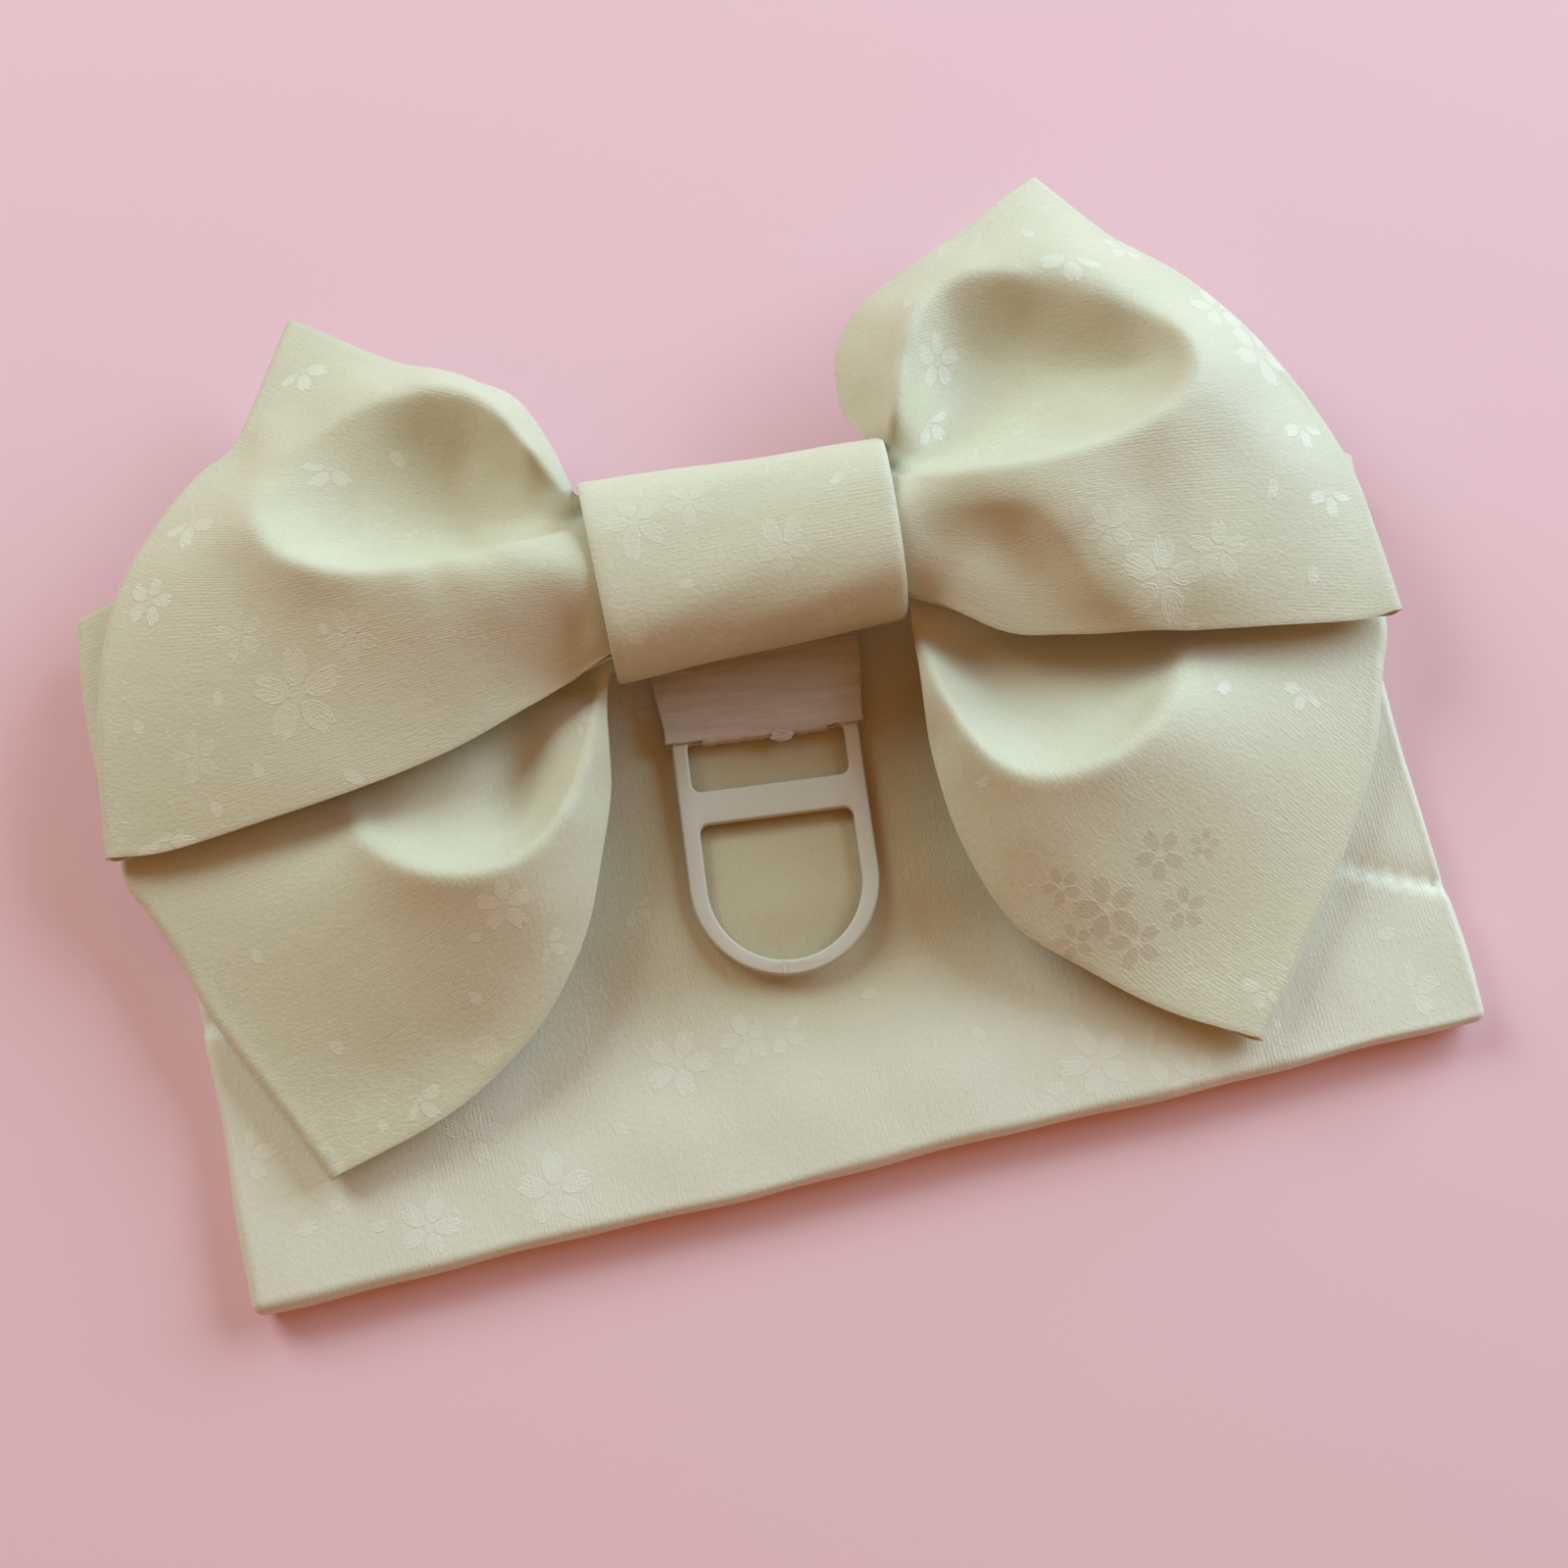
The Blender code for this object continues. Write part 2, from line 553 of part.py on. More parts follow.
def make_knot():
    bm = bmesh.new()
    steps = 6
    skins = []
    for shrink in (0, KNOT_WALL):
        left = knot_section(KNOT_ENDS[-1], shrink)
        right = knot_section(KNOT_ENDS[1], shrink)
        rings = []
        for k in range(steps + 1):
            rings.append([bm.verts.new(a.lerp(b, k / steps) * MM) for a, b in zip(left, right)])
        skins.append(rings)
    outer, inner = skins
    count = len(outer[0])
    for i in range(count):
        j = (i + 1) % count
        for k in range(steps):
            bm.faces.new((outer[k][i], outer[k][j], outer[k + 1][j], outer[k + 1][i]))
            bm.faces.new((inner[k][j], inner[k][i], inner[k + 1][i], inner[k + 1][j]))
        bm.faces.new((outer[0][j], outer[0][i], inner[0][i], inner[0][j]))
        bm.faces.new((outer[-1][i], outer[-1][j], inner[-1][j], inner[-1][i]))
    return finish_mesh("knot_band", bm)


def hook_place(u, v, w):
    """Hook sizes (across, down from its top bar, up) to a place on the belt."""
    tipped = Vector((u, -v * math.cos(HOOK_TIP) - w * math.sin(HOOK_TIP),
                     w * math.cos(HOOK_TIP) - v * math.sin(HOOK_TIP)))
    c = math.cos(HOOK_TURN)
    s = math.sin(HOOK_TURN)
    base = BELT_HEIGHT + SEAM_GAP + TAPE_THICKNESS + SEAM_GAP
    return Vector((HOOK_TOP[0] + tipped.x * c - tipped.y * s,
                   HOOK_TOP[1] + tipped.x * s + tipped.y * c, base + tipped.z))


def d_outline(half, top, bottom, corner, count):
    """Closed outline of a D: a straight top with rounded corners and a round foot."""
    points = []
    for step in range(5):
        angle = math.pi / 2 * step / 4
        points.append((half - corner + corner * math.cos(angle), top + corner - corner * math.sin(angle)))
    for step in range(5):
        angle = math.pi / 2 * (1 + step / 4)
        points.append((-half + corner + corner * math.cos(angle),
                       top + corner - corner * math.sin(angle)))
    straight = bottom - 1.02 * half
    for step in range(count + 1):
        angle = math.pi * step / count
        points.append((-half * math.cos(angle), straight + (bottom - straight) * math.sin(angle)))
    return points


def slot_outline(half, top, bottom, corner):
    points = []
    for sx, sy, quarter in ((1, -1, 0), (-1, -1, 1), (-1, 1, 2), (1, 1, 3)):
        centre_v = top + corner if sy < 0 else bottom - corner
        for step in range(4):
            angle = math.pi / 2 * (quarter + step / 3)
            points.append((sx * (half - corner) + corner * math.cos(angle),
                           centre_v - corner * math.sin(angle)))
    return points


def hook_blank(name, outline, low, high):
    """Flat plate cut to an outline, between two heights over the hook's underside."""
    bm = bmesh.new()
    base = [bm.verts.new(hook_place(u, v, low) * MM) for u, v in outline]
    cap = [bm.verts.new(hook_place(u, v, high) * MM) for u, v in outline]
    bm.faces.new(base)
    bm.faces.new(reversed(cap))
    for i in range(len(base)):
        j = (i + 1) % len(base)
        bm.faces.new((base[j], base[i], cap[i], cap[j]))
    return finish_mesh(name, bm)


def make_hook():
    half = HOOK_WIDTH / 2
    hook = hook_blank("hook", d_outline(half, -HOOK_BAR_HALF, HOOK_LENGTH, 2.0, 28), 0, HOOK_THICKNESS)
    rail = half - HOOK_RAIL
    openings = {
        "hook_slot": slot_outline(rail, HOOK_BAR_HALF, HOOK_SLOT_END, HOOK_CORNER),
        "hook_finger_hole": d_outline(rail - 0.6, HOOK_HOLE_TOP, HOOK_LENGTH - HOOK_RAIL,
                                      HOOK_CORNER, 24),
    }
    for name, outline in openings.items():
        cutter = hook_blank(name, outline, -5, HOOK_THICKNESS + 5)
        cutter.hide_render = True
        cutter.display_type = 'WIRE'
        cut = hook.modifiers.new(name, 'BOOLEAN')
        cut.operation = 'DIFFERENCE'
        cut.object = cutter
    bevel = hook.modifiers.new("moulded edge", 'BEVEL')
    bevel.width = HOOK_ROUND * MM
    bevel.segments = 1
    bevel.limit_method = 'ANGLE'
    bevel.angle_limit = math.radians(50)
    return hook


def make_tape():
    """Tape in side view: two plies under the knot, opening into a loop round the hook's bar."""
    bar_z = BELT_HEIGHT + 2 * SEAM_GAP + TAPE_THICKNESS + HOOK_THICKNESS / 2
    bar_y = HOOK_TOP[1]
    reach_y = HOOK_BAR_HALF + SEAM_GAP + TAPE_SLACK
    reach_z = HOOK_THICKNESS / 2 + SEAM_GAP
    top = KNOT_BOTTOM - SEAM_GAP
    side = []
    for step in range(9):
        c = math.cos(math.pi / 2 + math.pi * step / 8)
        s = math.sin(math.pi / 2 + math.pi * step / 8)
        side.append((math.copysign(math.sqrt(abs(c)), c), math.copysign(math.sqrt(abs(s)), s)))
    closed = bar_y + reach_y + TAPE_OPENING
    outer = [(TAPE_END, top), (closed, top)]
    outer += [(bar_y + c * (reach_y + TAPE_THICKNESS), bar_z + s * (reach_z + TAPE_THICKNESS))
              for c, s in side]
    outer += [(bar_y + reach_y, bar_z - reach_z - TAPE_THICKNESS),
              (closed, top - 2 * TAPE_THICKNESS), (TAPE_END, top - 2 * TAPE_THICKNESS)]
    inner = [(bar_y + c * reach_y, bar_z + s * reach_z) for c, s in side]
    inner += [(bar_y + reach_y, bar_z - reach_z), (bar_y + reach_y + 3.5, bar_z + 0.3),
              (bar_y + reach_y, bar_z + reach_z)]
    bm = bmesh.new()
    faces = []
    for sign in (-1, 1):
        x = sign * TAPE_WIDTH / 2
        faces.append([[bm.verts.new(tape_place(x, y, z) * MM) for y, z in ring]
                      for ring in (outer, inner)])
    for ring in (0, 1):
        left, right = faces[0][ring], faces[1][ring]
        for i in range(len(left)):
            j = (i + 1) % len(left)
            bm.faces.new((left[i], left[j], right[j], right[i]))
    for outer_ring, inner_ring in faces:
        edges = []
        for ring in (outer_ring, inner_ring):
            for i in range(len(ring)):
                edges.append(bm.edges.get((ring[i], ring[(i + 1) % len(ring)])))
        bmesh.ops.triangle_fill(bm, use_beauty=True, edges=edges)
    tape = finish_mesh("hook_tape", bm)
    inside = HOOK_WIDTH / 2 - HOOK_RAIL - HOOK_CORNER
    outside = TAPE_WIDTH / 2 + 2
    for name, sign in (("left_rail_gap", -1), ("right_rail_gap", 1)):
        outline = [(sign * inside, -4), (sign * outside, -4), (sign * outside, TAPE_SHOULDER),
                   (sign * inside, TAPE_SHOULDER)]
        cutter = hook_blank(name, outline, -SEAM_GAP, HOOK_THICKNESS + SEAM_GAP)
        cutter.hide_render = True
        cutter.display_type = 'WIRE'
        cut = tape.modifiers.new(name, 'BOOLEAN')
        cut.operation = 'DIFFERENCE'
        cut.object = cutter
    return tape


def tape_place(x, y, z):
    """The tape hangs square to the hook, so it turns with it about the bar."""
    c = math.cos(HOOK_TURN)
    s = math.sin(HOOK_TURN)
    dy = y - HOOK_TOP[1]
    return Vector((HOOK_TOP[0] + x * c - dy * s, HOOK_TOP[1] + x * s + dy * c, z))


def stand_on_origin(objects):
    """Moves every piece so that the middle of the whole footprint is at the origin."""
    corners = []
    bpy.context.view_layer.update()
    graph = bpy.context.evaluated_depsgraph_get()
    for obj in objects:
        mesh = obj.evaluated_get(graph).to_mesh()
        corners += [v.co.copy() for v in mesh.vertices]
    low = np.min(corners, axis=0)
    high = np.max(corners, axis=0)
    centre = (low + high) / 2
    shift = Vector((-centre[0], -centre[1], -low[2]))
    for obj in bpy.data.objects:
        for vertex in obj.data.vertices:
            vertex.co += shift


def build():
    for obj in list(bpy.data.objects):
        bpy.data.objects.remove(obj)
    brocade = material("brocade", (0.66, 0.60, 0.42), 0.5)
    plastic = material("white plastic", (0.86, 0.83, 0.76), 0.35)
    webbing = material("white webbing", (0.80, 0.76, 0.68), 0.8)
    belt = make_belt()
    top = np.array([[(x, y, BELT_HEIGHT) for y in (2, BELT_WIDTH - 2)] for x in (-170, 170)])
    belt_tree = tree_of(top)
    lower_left, left_tree = make_wing(LOWER_LEFT, [belt_tree])
    lower_right, right_tree = make_wing(LOWER_RIGHT, [belt_tree])
    upper_left, _ = make_wing(UPPER_LEFT, [belt_tree, left_tree])
    upper_right, _ = make_wing(UPPER_RIGHT, [belt_tree, right_tree])
    cloth = [belt, lower_left, lower_right, upper_left, upper_right, make_knot()]
    hook = make_hook()
    tape = make_tape()
    for obj in cloth:
        obj.data.materials.append(brocade)
    hook.data.materials.append(plastic)
    tape.data.materials.append(webbing)
    stand_on_origin(cloth + [hook, tape])


build()
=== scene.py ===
"""Looks of the ready-tied obi set: cream cherry-blossom jacquard, laid flat, with its hook.

Plan sizes are in millimetres as in the part's source: X along the folded band, Y from its lower
edge to the top of the bow, Z over the floor. PLAN_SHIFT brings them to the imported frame.
"""
import math
from collections import namedtuple

import bmesh
import bpy
import numpy as np
from mathutils import Matrix, Vector
from mathutils.bvhtree import BVHTree


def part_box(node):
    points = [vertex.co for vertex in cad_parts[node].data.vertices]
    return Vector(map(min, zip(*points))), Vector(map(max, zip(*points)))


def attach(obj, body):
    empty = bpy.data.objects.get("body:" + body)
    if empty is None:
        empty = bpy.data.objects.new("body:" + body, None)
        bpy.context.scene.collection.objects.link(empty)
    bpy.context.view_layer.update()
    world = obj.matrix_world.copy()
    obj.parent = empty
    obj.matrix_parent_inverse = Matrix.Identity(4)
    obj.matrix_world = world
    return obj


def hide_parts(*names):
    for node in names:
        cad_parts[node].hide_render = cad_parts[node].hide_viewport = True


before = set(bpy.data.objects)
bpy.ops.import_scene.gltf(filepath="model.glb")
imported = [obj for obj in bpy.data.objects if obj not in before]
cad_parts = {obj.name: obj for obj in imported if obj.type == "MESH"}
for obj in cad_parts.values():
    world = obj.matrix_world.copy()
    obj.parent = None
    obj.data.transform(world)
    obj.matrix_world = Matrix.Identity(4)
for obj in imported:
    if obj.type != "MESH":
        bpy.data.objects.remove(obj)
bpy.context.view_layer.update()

Height = namedtuple("Height", "x y z")
Fold = namedtuple("Fold", "across z")
Crease = namedtuple("Crease", "line left right")
Wing = namedtuple("Wing", "name gather mouth front_top back_top bottom back_bottom end front back creases"
                          " grain blossoms")
BeltCrease = namedtuple("BeltCrease", "side depth y slope width length")
Blossom = namedtuple("Blossom", "x y radius turn kind")
BlossomSpot = namedtuple("BlossomSpot", "blossom i j along across reach_i reach_j axes")

MM = 0.001

# Folded waist band
BELT_LENGTH = 347.0
BELT_WIDTH = 160.0
BELT_HEIGHT = 11.1
BELT_CORNER = 3.6
BELT_ROLL = 3.2
BELT_TOP_LAYER = 3.4
BELT_CLOTH = 0.9
BELT_CREASES = (BeltCrease(side=-1, depth=2.8, y=79, slope=0.0, width=6, length=50),
                BeltCrease(side=1, depth=2.7, y=38, slope=0.45, width=4.5, length=48))
# Broad hollow of the belt below the hook
HOLLOW_Y = 54.0
HOLLOW_ABOVE = 24.0
HOLLOW_BELOW = 38.0
HOLLOW_DEPTH = 2.8
HOLLOW_X = 10.0
HOLLOW_HALF_LENGTH = 190.0
# The top sinks a little towards its right end
RIGHT_FALL_START = 110.0
RIGHT_FALL_SLOPE = 0.018
# Short creases at the belt's ends: how they widen inwards above, and how wide they are below
CREASE_SPREAD = 0.12
CREASE_BELOW = 0.7
# Waves of the top layer and of its edge: height, length along, length across, start
SLACK_WAVES = ((0.32, 29, 23, 0), (0.22, 13, -17, 1.3), (0.12, 6.1, 9.3, 2.1))
EDGE_WAVES = ((0.45, 19, 13, 0), (0.2, 6.3, -7.1, 0))
EDGE_SLACK = 0.4
EDGE_SLACK_REACH = 9.0
# Flat part of the top, for the bow to lie on
FLAT_TOP_X = (-170, 170)
FLAT_TOP_Y = (2, BELT_WIDTH - 2)
# Rings down the belt's side under the rolled edge: how far out, how high, how uneven. The cloth
# between two of them is RING_CLOTH long.
BELT_SIDE = ((-0.1, 7.2, 0.15), (-0.6, 6.7, 0.2), (-1.6, 6.3, 0.2), (-0.9, 5.7, 0.3), (-0.8, 4.8, 0.3),
             (-1.2, 4.1, 0.3), (-2.2, 3.7, 0.2), (-1.6, 3.1, 0.3), (-1.6, 2.2, 0.3), (-2.0, 1.2, 0.3),
             (-2.6, 0.4, 0.1), (-3.1, 0.05, 0.0))
RING_CLOTH = 2.0

# Cloth of the bow
CLOTH = 1.3
SEAM_GAP = 0.3
STACK = 3.1
DRAPE_SLOPE = 0.25
BELLY = 12.0
END_FOLD = 2.4
CREASE_SOFT = 0.8

# Knot band
KNOT_BOTTOM = 17.6
KNOT_HEIGHT = 40.5
KNOT_WALL = 2.0
KNOT_SQUARENESS = 2.6
KNOT_HEM = 0.5
KNOT_LENGTH = 84.0
KNOT_SLACK = 0.35
KNOT_CRUMPLE = 0.22
KNOT_CLEAR = 0.25

# Hook and tape
TAPE_WIDTH = 59.0
TAPE_THICKNESS = 1.1
TAPE_END = 168.0
TAPE_CLOSED = 12.2
TAPE_TAPER = 1.6
TAPE_TAPER_LENGTH = 14.0
TAPE_COLUMNS = 60
# Torn scrap below the bar: its middle and half size, across and along the tape
SCRAP_PLACE = (4.6, -4.4)
SCRAP_HALF = (3.4, 1.5)
HOOK_WIDTH = 53.0
HOOK_LENGTH = 72.0
HOOK_THICKNESS = 3.0
HOOK_RAIL = 4.3
HOOK_CORNER = 2.6
HOOK_OUTER_CORNER = 2.0
HOOK_BAR_HALF = 2.5
HOOK_SLOT_END = 17.5
HOOK_HOLE_TOP = 27.0
HOOK_ROUND = 0.8
HOOK_TURN = math.radians(-5.8)
HOOK_TIP = math.radians(1.1)
HOOK_TOP = (-2.7, 127.8)
# Underside of the hook and middle of its bar, over the floor
HOOK_BASE = BELT_HEIGHT + 2 * SEAM_GAP + TAPE_THICKNESS
BAR_Z = HOOK_BASE + HOOK_THICKNESS / 2
# Gate mark of the mould at the foot of the ring
GATE_PLACE = (-3.2, HOOK_LENGTH - 2.4)
GATE_RISE = 0.25
GATE_RADIUS = 0.75
GATE_STRETCH = 3.4

# Grids of the cloth, and the steps of the curves under them
CURVE_STEPS = 24
CREASE_STEPS = 60
KNOT_STEPS = 8
FRONT_STEPS = 96
FOLD_STEPS = 7
BACK_STEPS = 26
ACROSS_STEPS = 104
SETTLE_ROUNDS = 3
BELT_GRID = (176, 84)
KNOT_GRID = (112, 44)

# Where the cloth feels for what is under it: from above all, straight down and in rings round it
ABOVE_ALL = 200
PROBE_REACHES = (3, 6, 9)
PROBE_TURNS = 8

# Kinds of blossom: whole, half, two petals, a ribbed round spot, drawn in lines, and one painted darker as
# painted shade, where the satin figure lies in shade
FULL, HALF, PAIR, SPOT, DRAWN, PAINTED_SHADE_KIND = range(6)
PETALS = 5
# The blossom map keeps each kind in its own part, and cloth without one at NO_BLOSSOM
KIND_STEP = 20
NO_BLOSSOM = (9, 9)
# A blossom's map reaches past its radius, and lies on the upper of two layers
BLOSSOM_REACH = 1.6
HIDDEN_PENALTY = 0.25

# Colours of the cloth, and the distance between its fine ribs in metres
GROUND = (0.60, 0.575, 0.41)
GROUND_BROAD = (0.63, 0.605, 0.455)
GROUND_PATCH = (0.675, 0.645, 0.50)
CREPE_LIGHT = (0.79, 0.755, 0.62)
PETAL_PALE = (0.84, 0.83, 0.73)
# Petals of the kind with painted shade: satin figure painted darker where it lies in shade
PETAL_PAINTED_SHADE = (0.56, 0.47, 0.37)
THREAD_LIGHT = (0.84, 0.82, 0.71)
RIB_PITCH = 0.00115
# Painted light and shade on the band's cloth: painted shade, warm and dark, round a middle below the bow,
# and painted light, paler, away from it; middle and reach in metres up and right
BAND_PAINTED_SHADE = (0.37, 0.25, 0.07)
BAND_PAINTED_LIGHT = (0.92, 0.93, 0.88)
BAND_SHADE_MIDDLE = (0.092, 0.176)
BAND_SHADE_REACH = (0.056, 0.088)
# Colours of the hook and the tape, and the distance between its weft threads
PLASTIC_DEEP = (0.58, 0.545, 0.47)
PLASTIC_PALE = (0.66, 0.625, 0.56)
TAPE_DEEP = (0.46, 0.43, 0.42)
TAPE_PALE = (0.80, 0.76, 0.76)
WEFT_PITCH = 0.0013

# Light
WINDOW_PLACE = (1.739, 0.773, 0.888)
WINDOW_SIZE = (1.9, 1.5)
WINDOW_POWER = 54.0
WINDOW_COLOUR = (0.57, 0.87, 1.0)
SIDE_PLACE = (-1.032, 1.376, 1.205)
SIDE_SIZE = (1.05, 1.05)
SIDE_POWER = 23.5
SIDE_COLOUR = (0.74, 1.0, 1.0)
ROOM_COLOUR = (1.0, 0.46, 0.15)
ROOM_STRENGTH = 0.33
FLOOR_COLOUR = (0.92, 0.60, 0.69)
FLOOR_HALF = 3

# Camera, looking at a place on the plan
CAMERA_TURN = math.radians(-13.37)
CAMERA_LIFT = math.radians(76.0)
CAMERA_TARGET = (-0.2, 112.9, 0)
CAMERA_DISTANCE = 675.2
CAMERA_LENS = 54.0
CAMERA_SENSOR = 36.0

belt_low, belt_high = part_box("belt")
PLAN_SHIFT = Vector(((belt_low[0] + belt_high[0]) / 2, belt_low[1], 0))

# Left and right end of the knot band: place, half depth, and how far the end leans
KNOT_ENDS = (dict(x=-39.4, y=171.0, half=28.6, lean=0.02),
             dict(x=44.2, y=167.8, half=25.2, lean=0.09))

# Gathers inside the knot band: across is a share of the band's inside half depth, and z a height
UPPER_GATHER = dict(
    front=[Fold(0.93, 40.0), Fold(0.86, 42.0), Fold(0.68, 41.0), Fold(0.45, 47.0), Fold(0.05, 53.0),
           Fold(-0.42, 51.0), Fold(-0.68, 46.0), Fold(-0.83, 41.0)],
    back=[Fold(0.9, 36.5), Fold(0.45, 37.0), Fold(-0.03, 38.5), Fold(-0.5, 38.0),
          Fold(-0.83, 36.0)])
LOWER_GATHER = dict(
    front=[Fold(0.84, 32.0), Fold(0.42, 33.5), Fold(-0.03, 34.5), Fold(-0.5, 34.5),
           Fold(-0.72, 34.0), Fold(-0.9, 32.0)],
    back=[Fold(0.8, 27.5), Fold(0.42, 23.2), Fold(-0.03, 21.8), Fold(-0.5, 22.8),
          Fold(-0.72, 25.3), Fold(-0.83, 28.0)])

# Creases are lines of (x, y, rise), walked outwards from the knot. left and right say how fast
# the rise falls away on each side, in millimetres.
UPPER_LEFT = Wing(
    name="upper_left",
    gather=UPPER_GATHER,
    mouth=(-40.2, -40.8),
    front_top=[(-41.5, 202), (-43, 209), (-45, 216), (-48, 224), (-52.5, 231), (-60, 237), (-70, 243.5),
               (-82, 251), (-107, 271)],
    back_top=[(-42, 201), (-44.5, 210), (-47, 218), (-54, 228), (-71, 240), (-82, 247), (-107, 271)],
    bottom=[(-66, 140), (-89, 132.5), (-115, 128), (-149, 126.5), (-171, 126.5), (-185, 129)],
    back_bottom=[(-66, 143), (-89, 135.5), (-115, 131), (-149, 129), (-185, 129)],
    end=[(-107, 271), (-128, 237), (-141, 229.5), (-157, 215), (-169, 199.5),
         (-176.5, 181.5), (-182, 155.5), (-185, 129)],
    front=[
        # outer slope beyond the rim, and the flat corner
        Height(-43, 209, 39), Height(-47, 222, 38.5), Height(-59, 236, 37), Height(-81, 250, 33.5),
        Height(-50, 222, 43.5), Height(-62, 234, 42), Height(-80, 242, 39),
        Height(-107, 271, 31), Height(-100, 254, 34.5), Height(-110, 240, 36.5), Height(-122, 238, 35),
        Height(-130, 233, 33),
        # rim over the scoop
        Height(-49, 207.5, 46), Height(-56, 219.5, 47), Height(-63, 228, 46.5), Height(-73, 233.5, 45.5),
        Height(-84, 235, 43.5), Height(-98, 232.5, 41.5), Height(-115, 227, 40.5),
        # scoop: valley, western floor, steep eastern wall
        Height(-78, 224, 40), Height(-75, 210, 35), Height(-73, 198, 34.5), Height(-71, 189, 37.5),
        Height(-90, 219, 39.5), Height(-92, 205, 38), Height(-106, 215, 41), Height(-106, 200, 42.5),
        Height(-116, 209, 44), Height(-90, 190, 42.5), Height(-104, 191, 46),
        Height(-66, 216, 38.5), Height(-62, 202, 37), Height(-58, 191, 39.5), Height(-55, 206, 42),
        Height(-49.5, 196, 42), Height(-46.5, 189, 42),
        # ridge round the scoop
        Height(-50, 180.5, 49), Height(-62, 180.5, 50.5), Height(-75, 180.3, 51), Height(-90, 180.5, 51.5),
        Height(-104, 183, 51), Height(-115, 189, 50), Height(-122, 197, 48), Height(-125.5, 206, 46.5),
        Height(-122, 217, 43.5),
        # broad face
        Height(-50, 172, 54), Height(-62, 172, 54.5), Height(-78, 171, 54), Height(-94, 172, 53),
        Height(-110, 177, 50), Height(-124, 186, 46.5), Height(-66, 164, 53), Height(-92, 160, 50.8),
        Height(-133, 197, 43.5), Height(-90, 147, 46.5), Height(-120, 150, 44), Height(-150, 180, 38.5),
        Height(-150, 150, 37), Height(-138, 214, 39.5), Height(-154, 205, 36),
        # slope that turns under by the knot
        Height(-47, 156, 45.5), Height(-54, 154, 44.5), Height(-64, 154, 46), Height(-78, 148, 46),
        Height(-57, 148, 41), Height(-70, 144, 42),
        # lower edge and end
        Height(-48, 147, 40), Height(-66, 140, 40), Height(-89, 132.5, 41.5), Height(-115, 128, 41.5),
        Height(-149, 126.5, 34), Height(-185, 129, 25), Height(-182, 155, 28), Height(-169, 199, 31),
        Height(-157, 214, 32),
    ],
    back=[Height(-45, 209, 36.5), Height(-55, 228, 34.5), Height(-80, 244, 30.5), Height(-90, 200, 34),
          Height(-70, 205, 30), Height(-75, 190, 31), Height(-70, 170, 36.5), Height(-100, 150, 34.5),
          Height(-66, 145, 37.5), Height(-115, 132, 33.5), Height(-140, 170, 30)],
    creases=[
        Crease([(-38, 192, 0), (-42.5, 197.5, 3), (-49.5, 208.5, 6.5), (-55.8, 219.5, 6.5),
                (-62.5, 228.2, 5.5), (-72.5, 233.8, 3.5), (-83, 235.3, 2.2), (-92, 235, 1.6),
                (-104, 231.2, 1.2), (-117, 227, 1), (-130, 227.5, 0)], left=4, right=9),
        Crease([(-34, 183, 1.5), (-42, 182.8, 4), (-50, 181.6, 5.5), (-60, 181, 6), (-70, 180.8, 4.5),
                (-80, 180.8, 2), (-90, 181, 0)], left=14, right=1.8),
        Crease([(-62, 181, 0), (-70, 180.8, 1.5), (-80, 180.7, 4), (-89, 180.9, 6.5), (-98, 182, 6.5),
                (-108, 185.2, 6.5), (-117.5, 190.5, 6), (-123.5, 197, 4.5), (-126.3, 204.4, 3),
                (-125.8, 211, 1.5), (-121, 219, 0)], left=12, right=3.4),
    ],
    grain=0,
    blossoms=[
        Blossom(-125, 156, 14, 0.9, DRAWN), Blossom(-137, 178, 8, 1.1, DRAWN),
        Blossom(-156, 148, 8, 1.1, DRAWN), Blossom(-106, 167, 8, 0.1, DRAWN),
        Blossom(-118, 134, 7, 0.8, PAIR), Blossom(-161, 196, 8, 0.8, FULL),
        Blossom(-146, 215, 9, 0.6, HALF), Blossom(-170, 130, 10, 0.2, HALF),
        Blossom(-154, 136, 6, 0.6, PAIR), Blossom(-105, 220, 8, 0.1, HALF),
        Blossom(-87, 223, 7, 1.2, PAIR), Blossom(-107, 254, 8, 1.1, HALF),
        Blossom(-141, 143, 6, 0.7, PAIR), Blossom(-146, 166, 6, 0.4, PAIR),
        Blossom(-172, 164, 6, 1.1, PAIR), Blossom(-114, 173, 5, 0.7, PAIR),
    ],
)

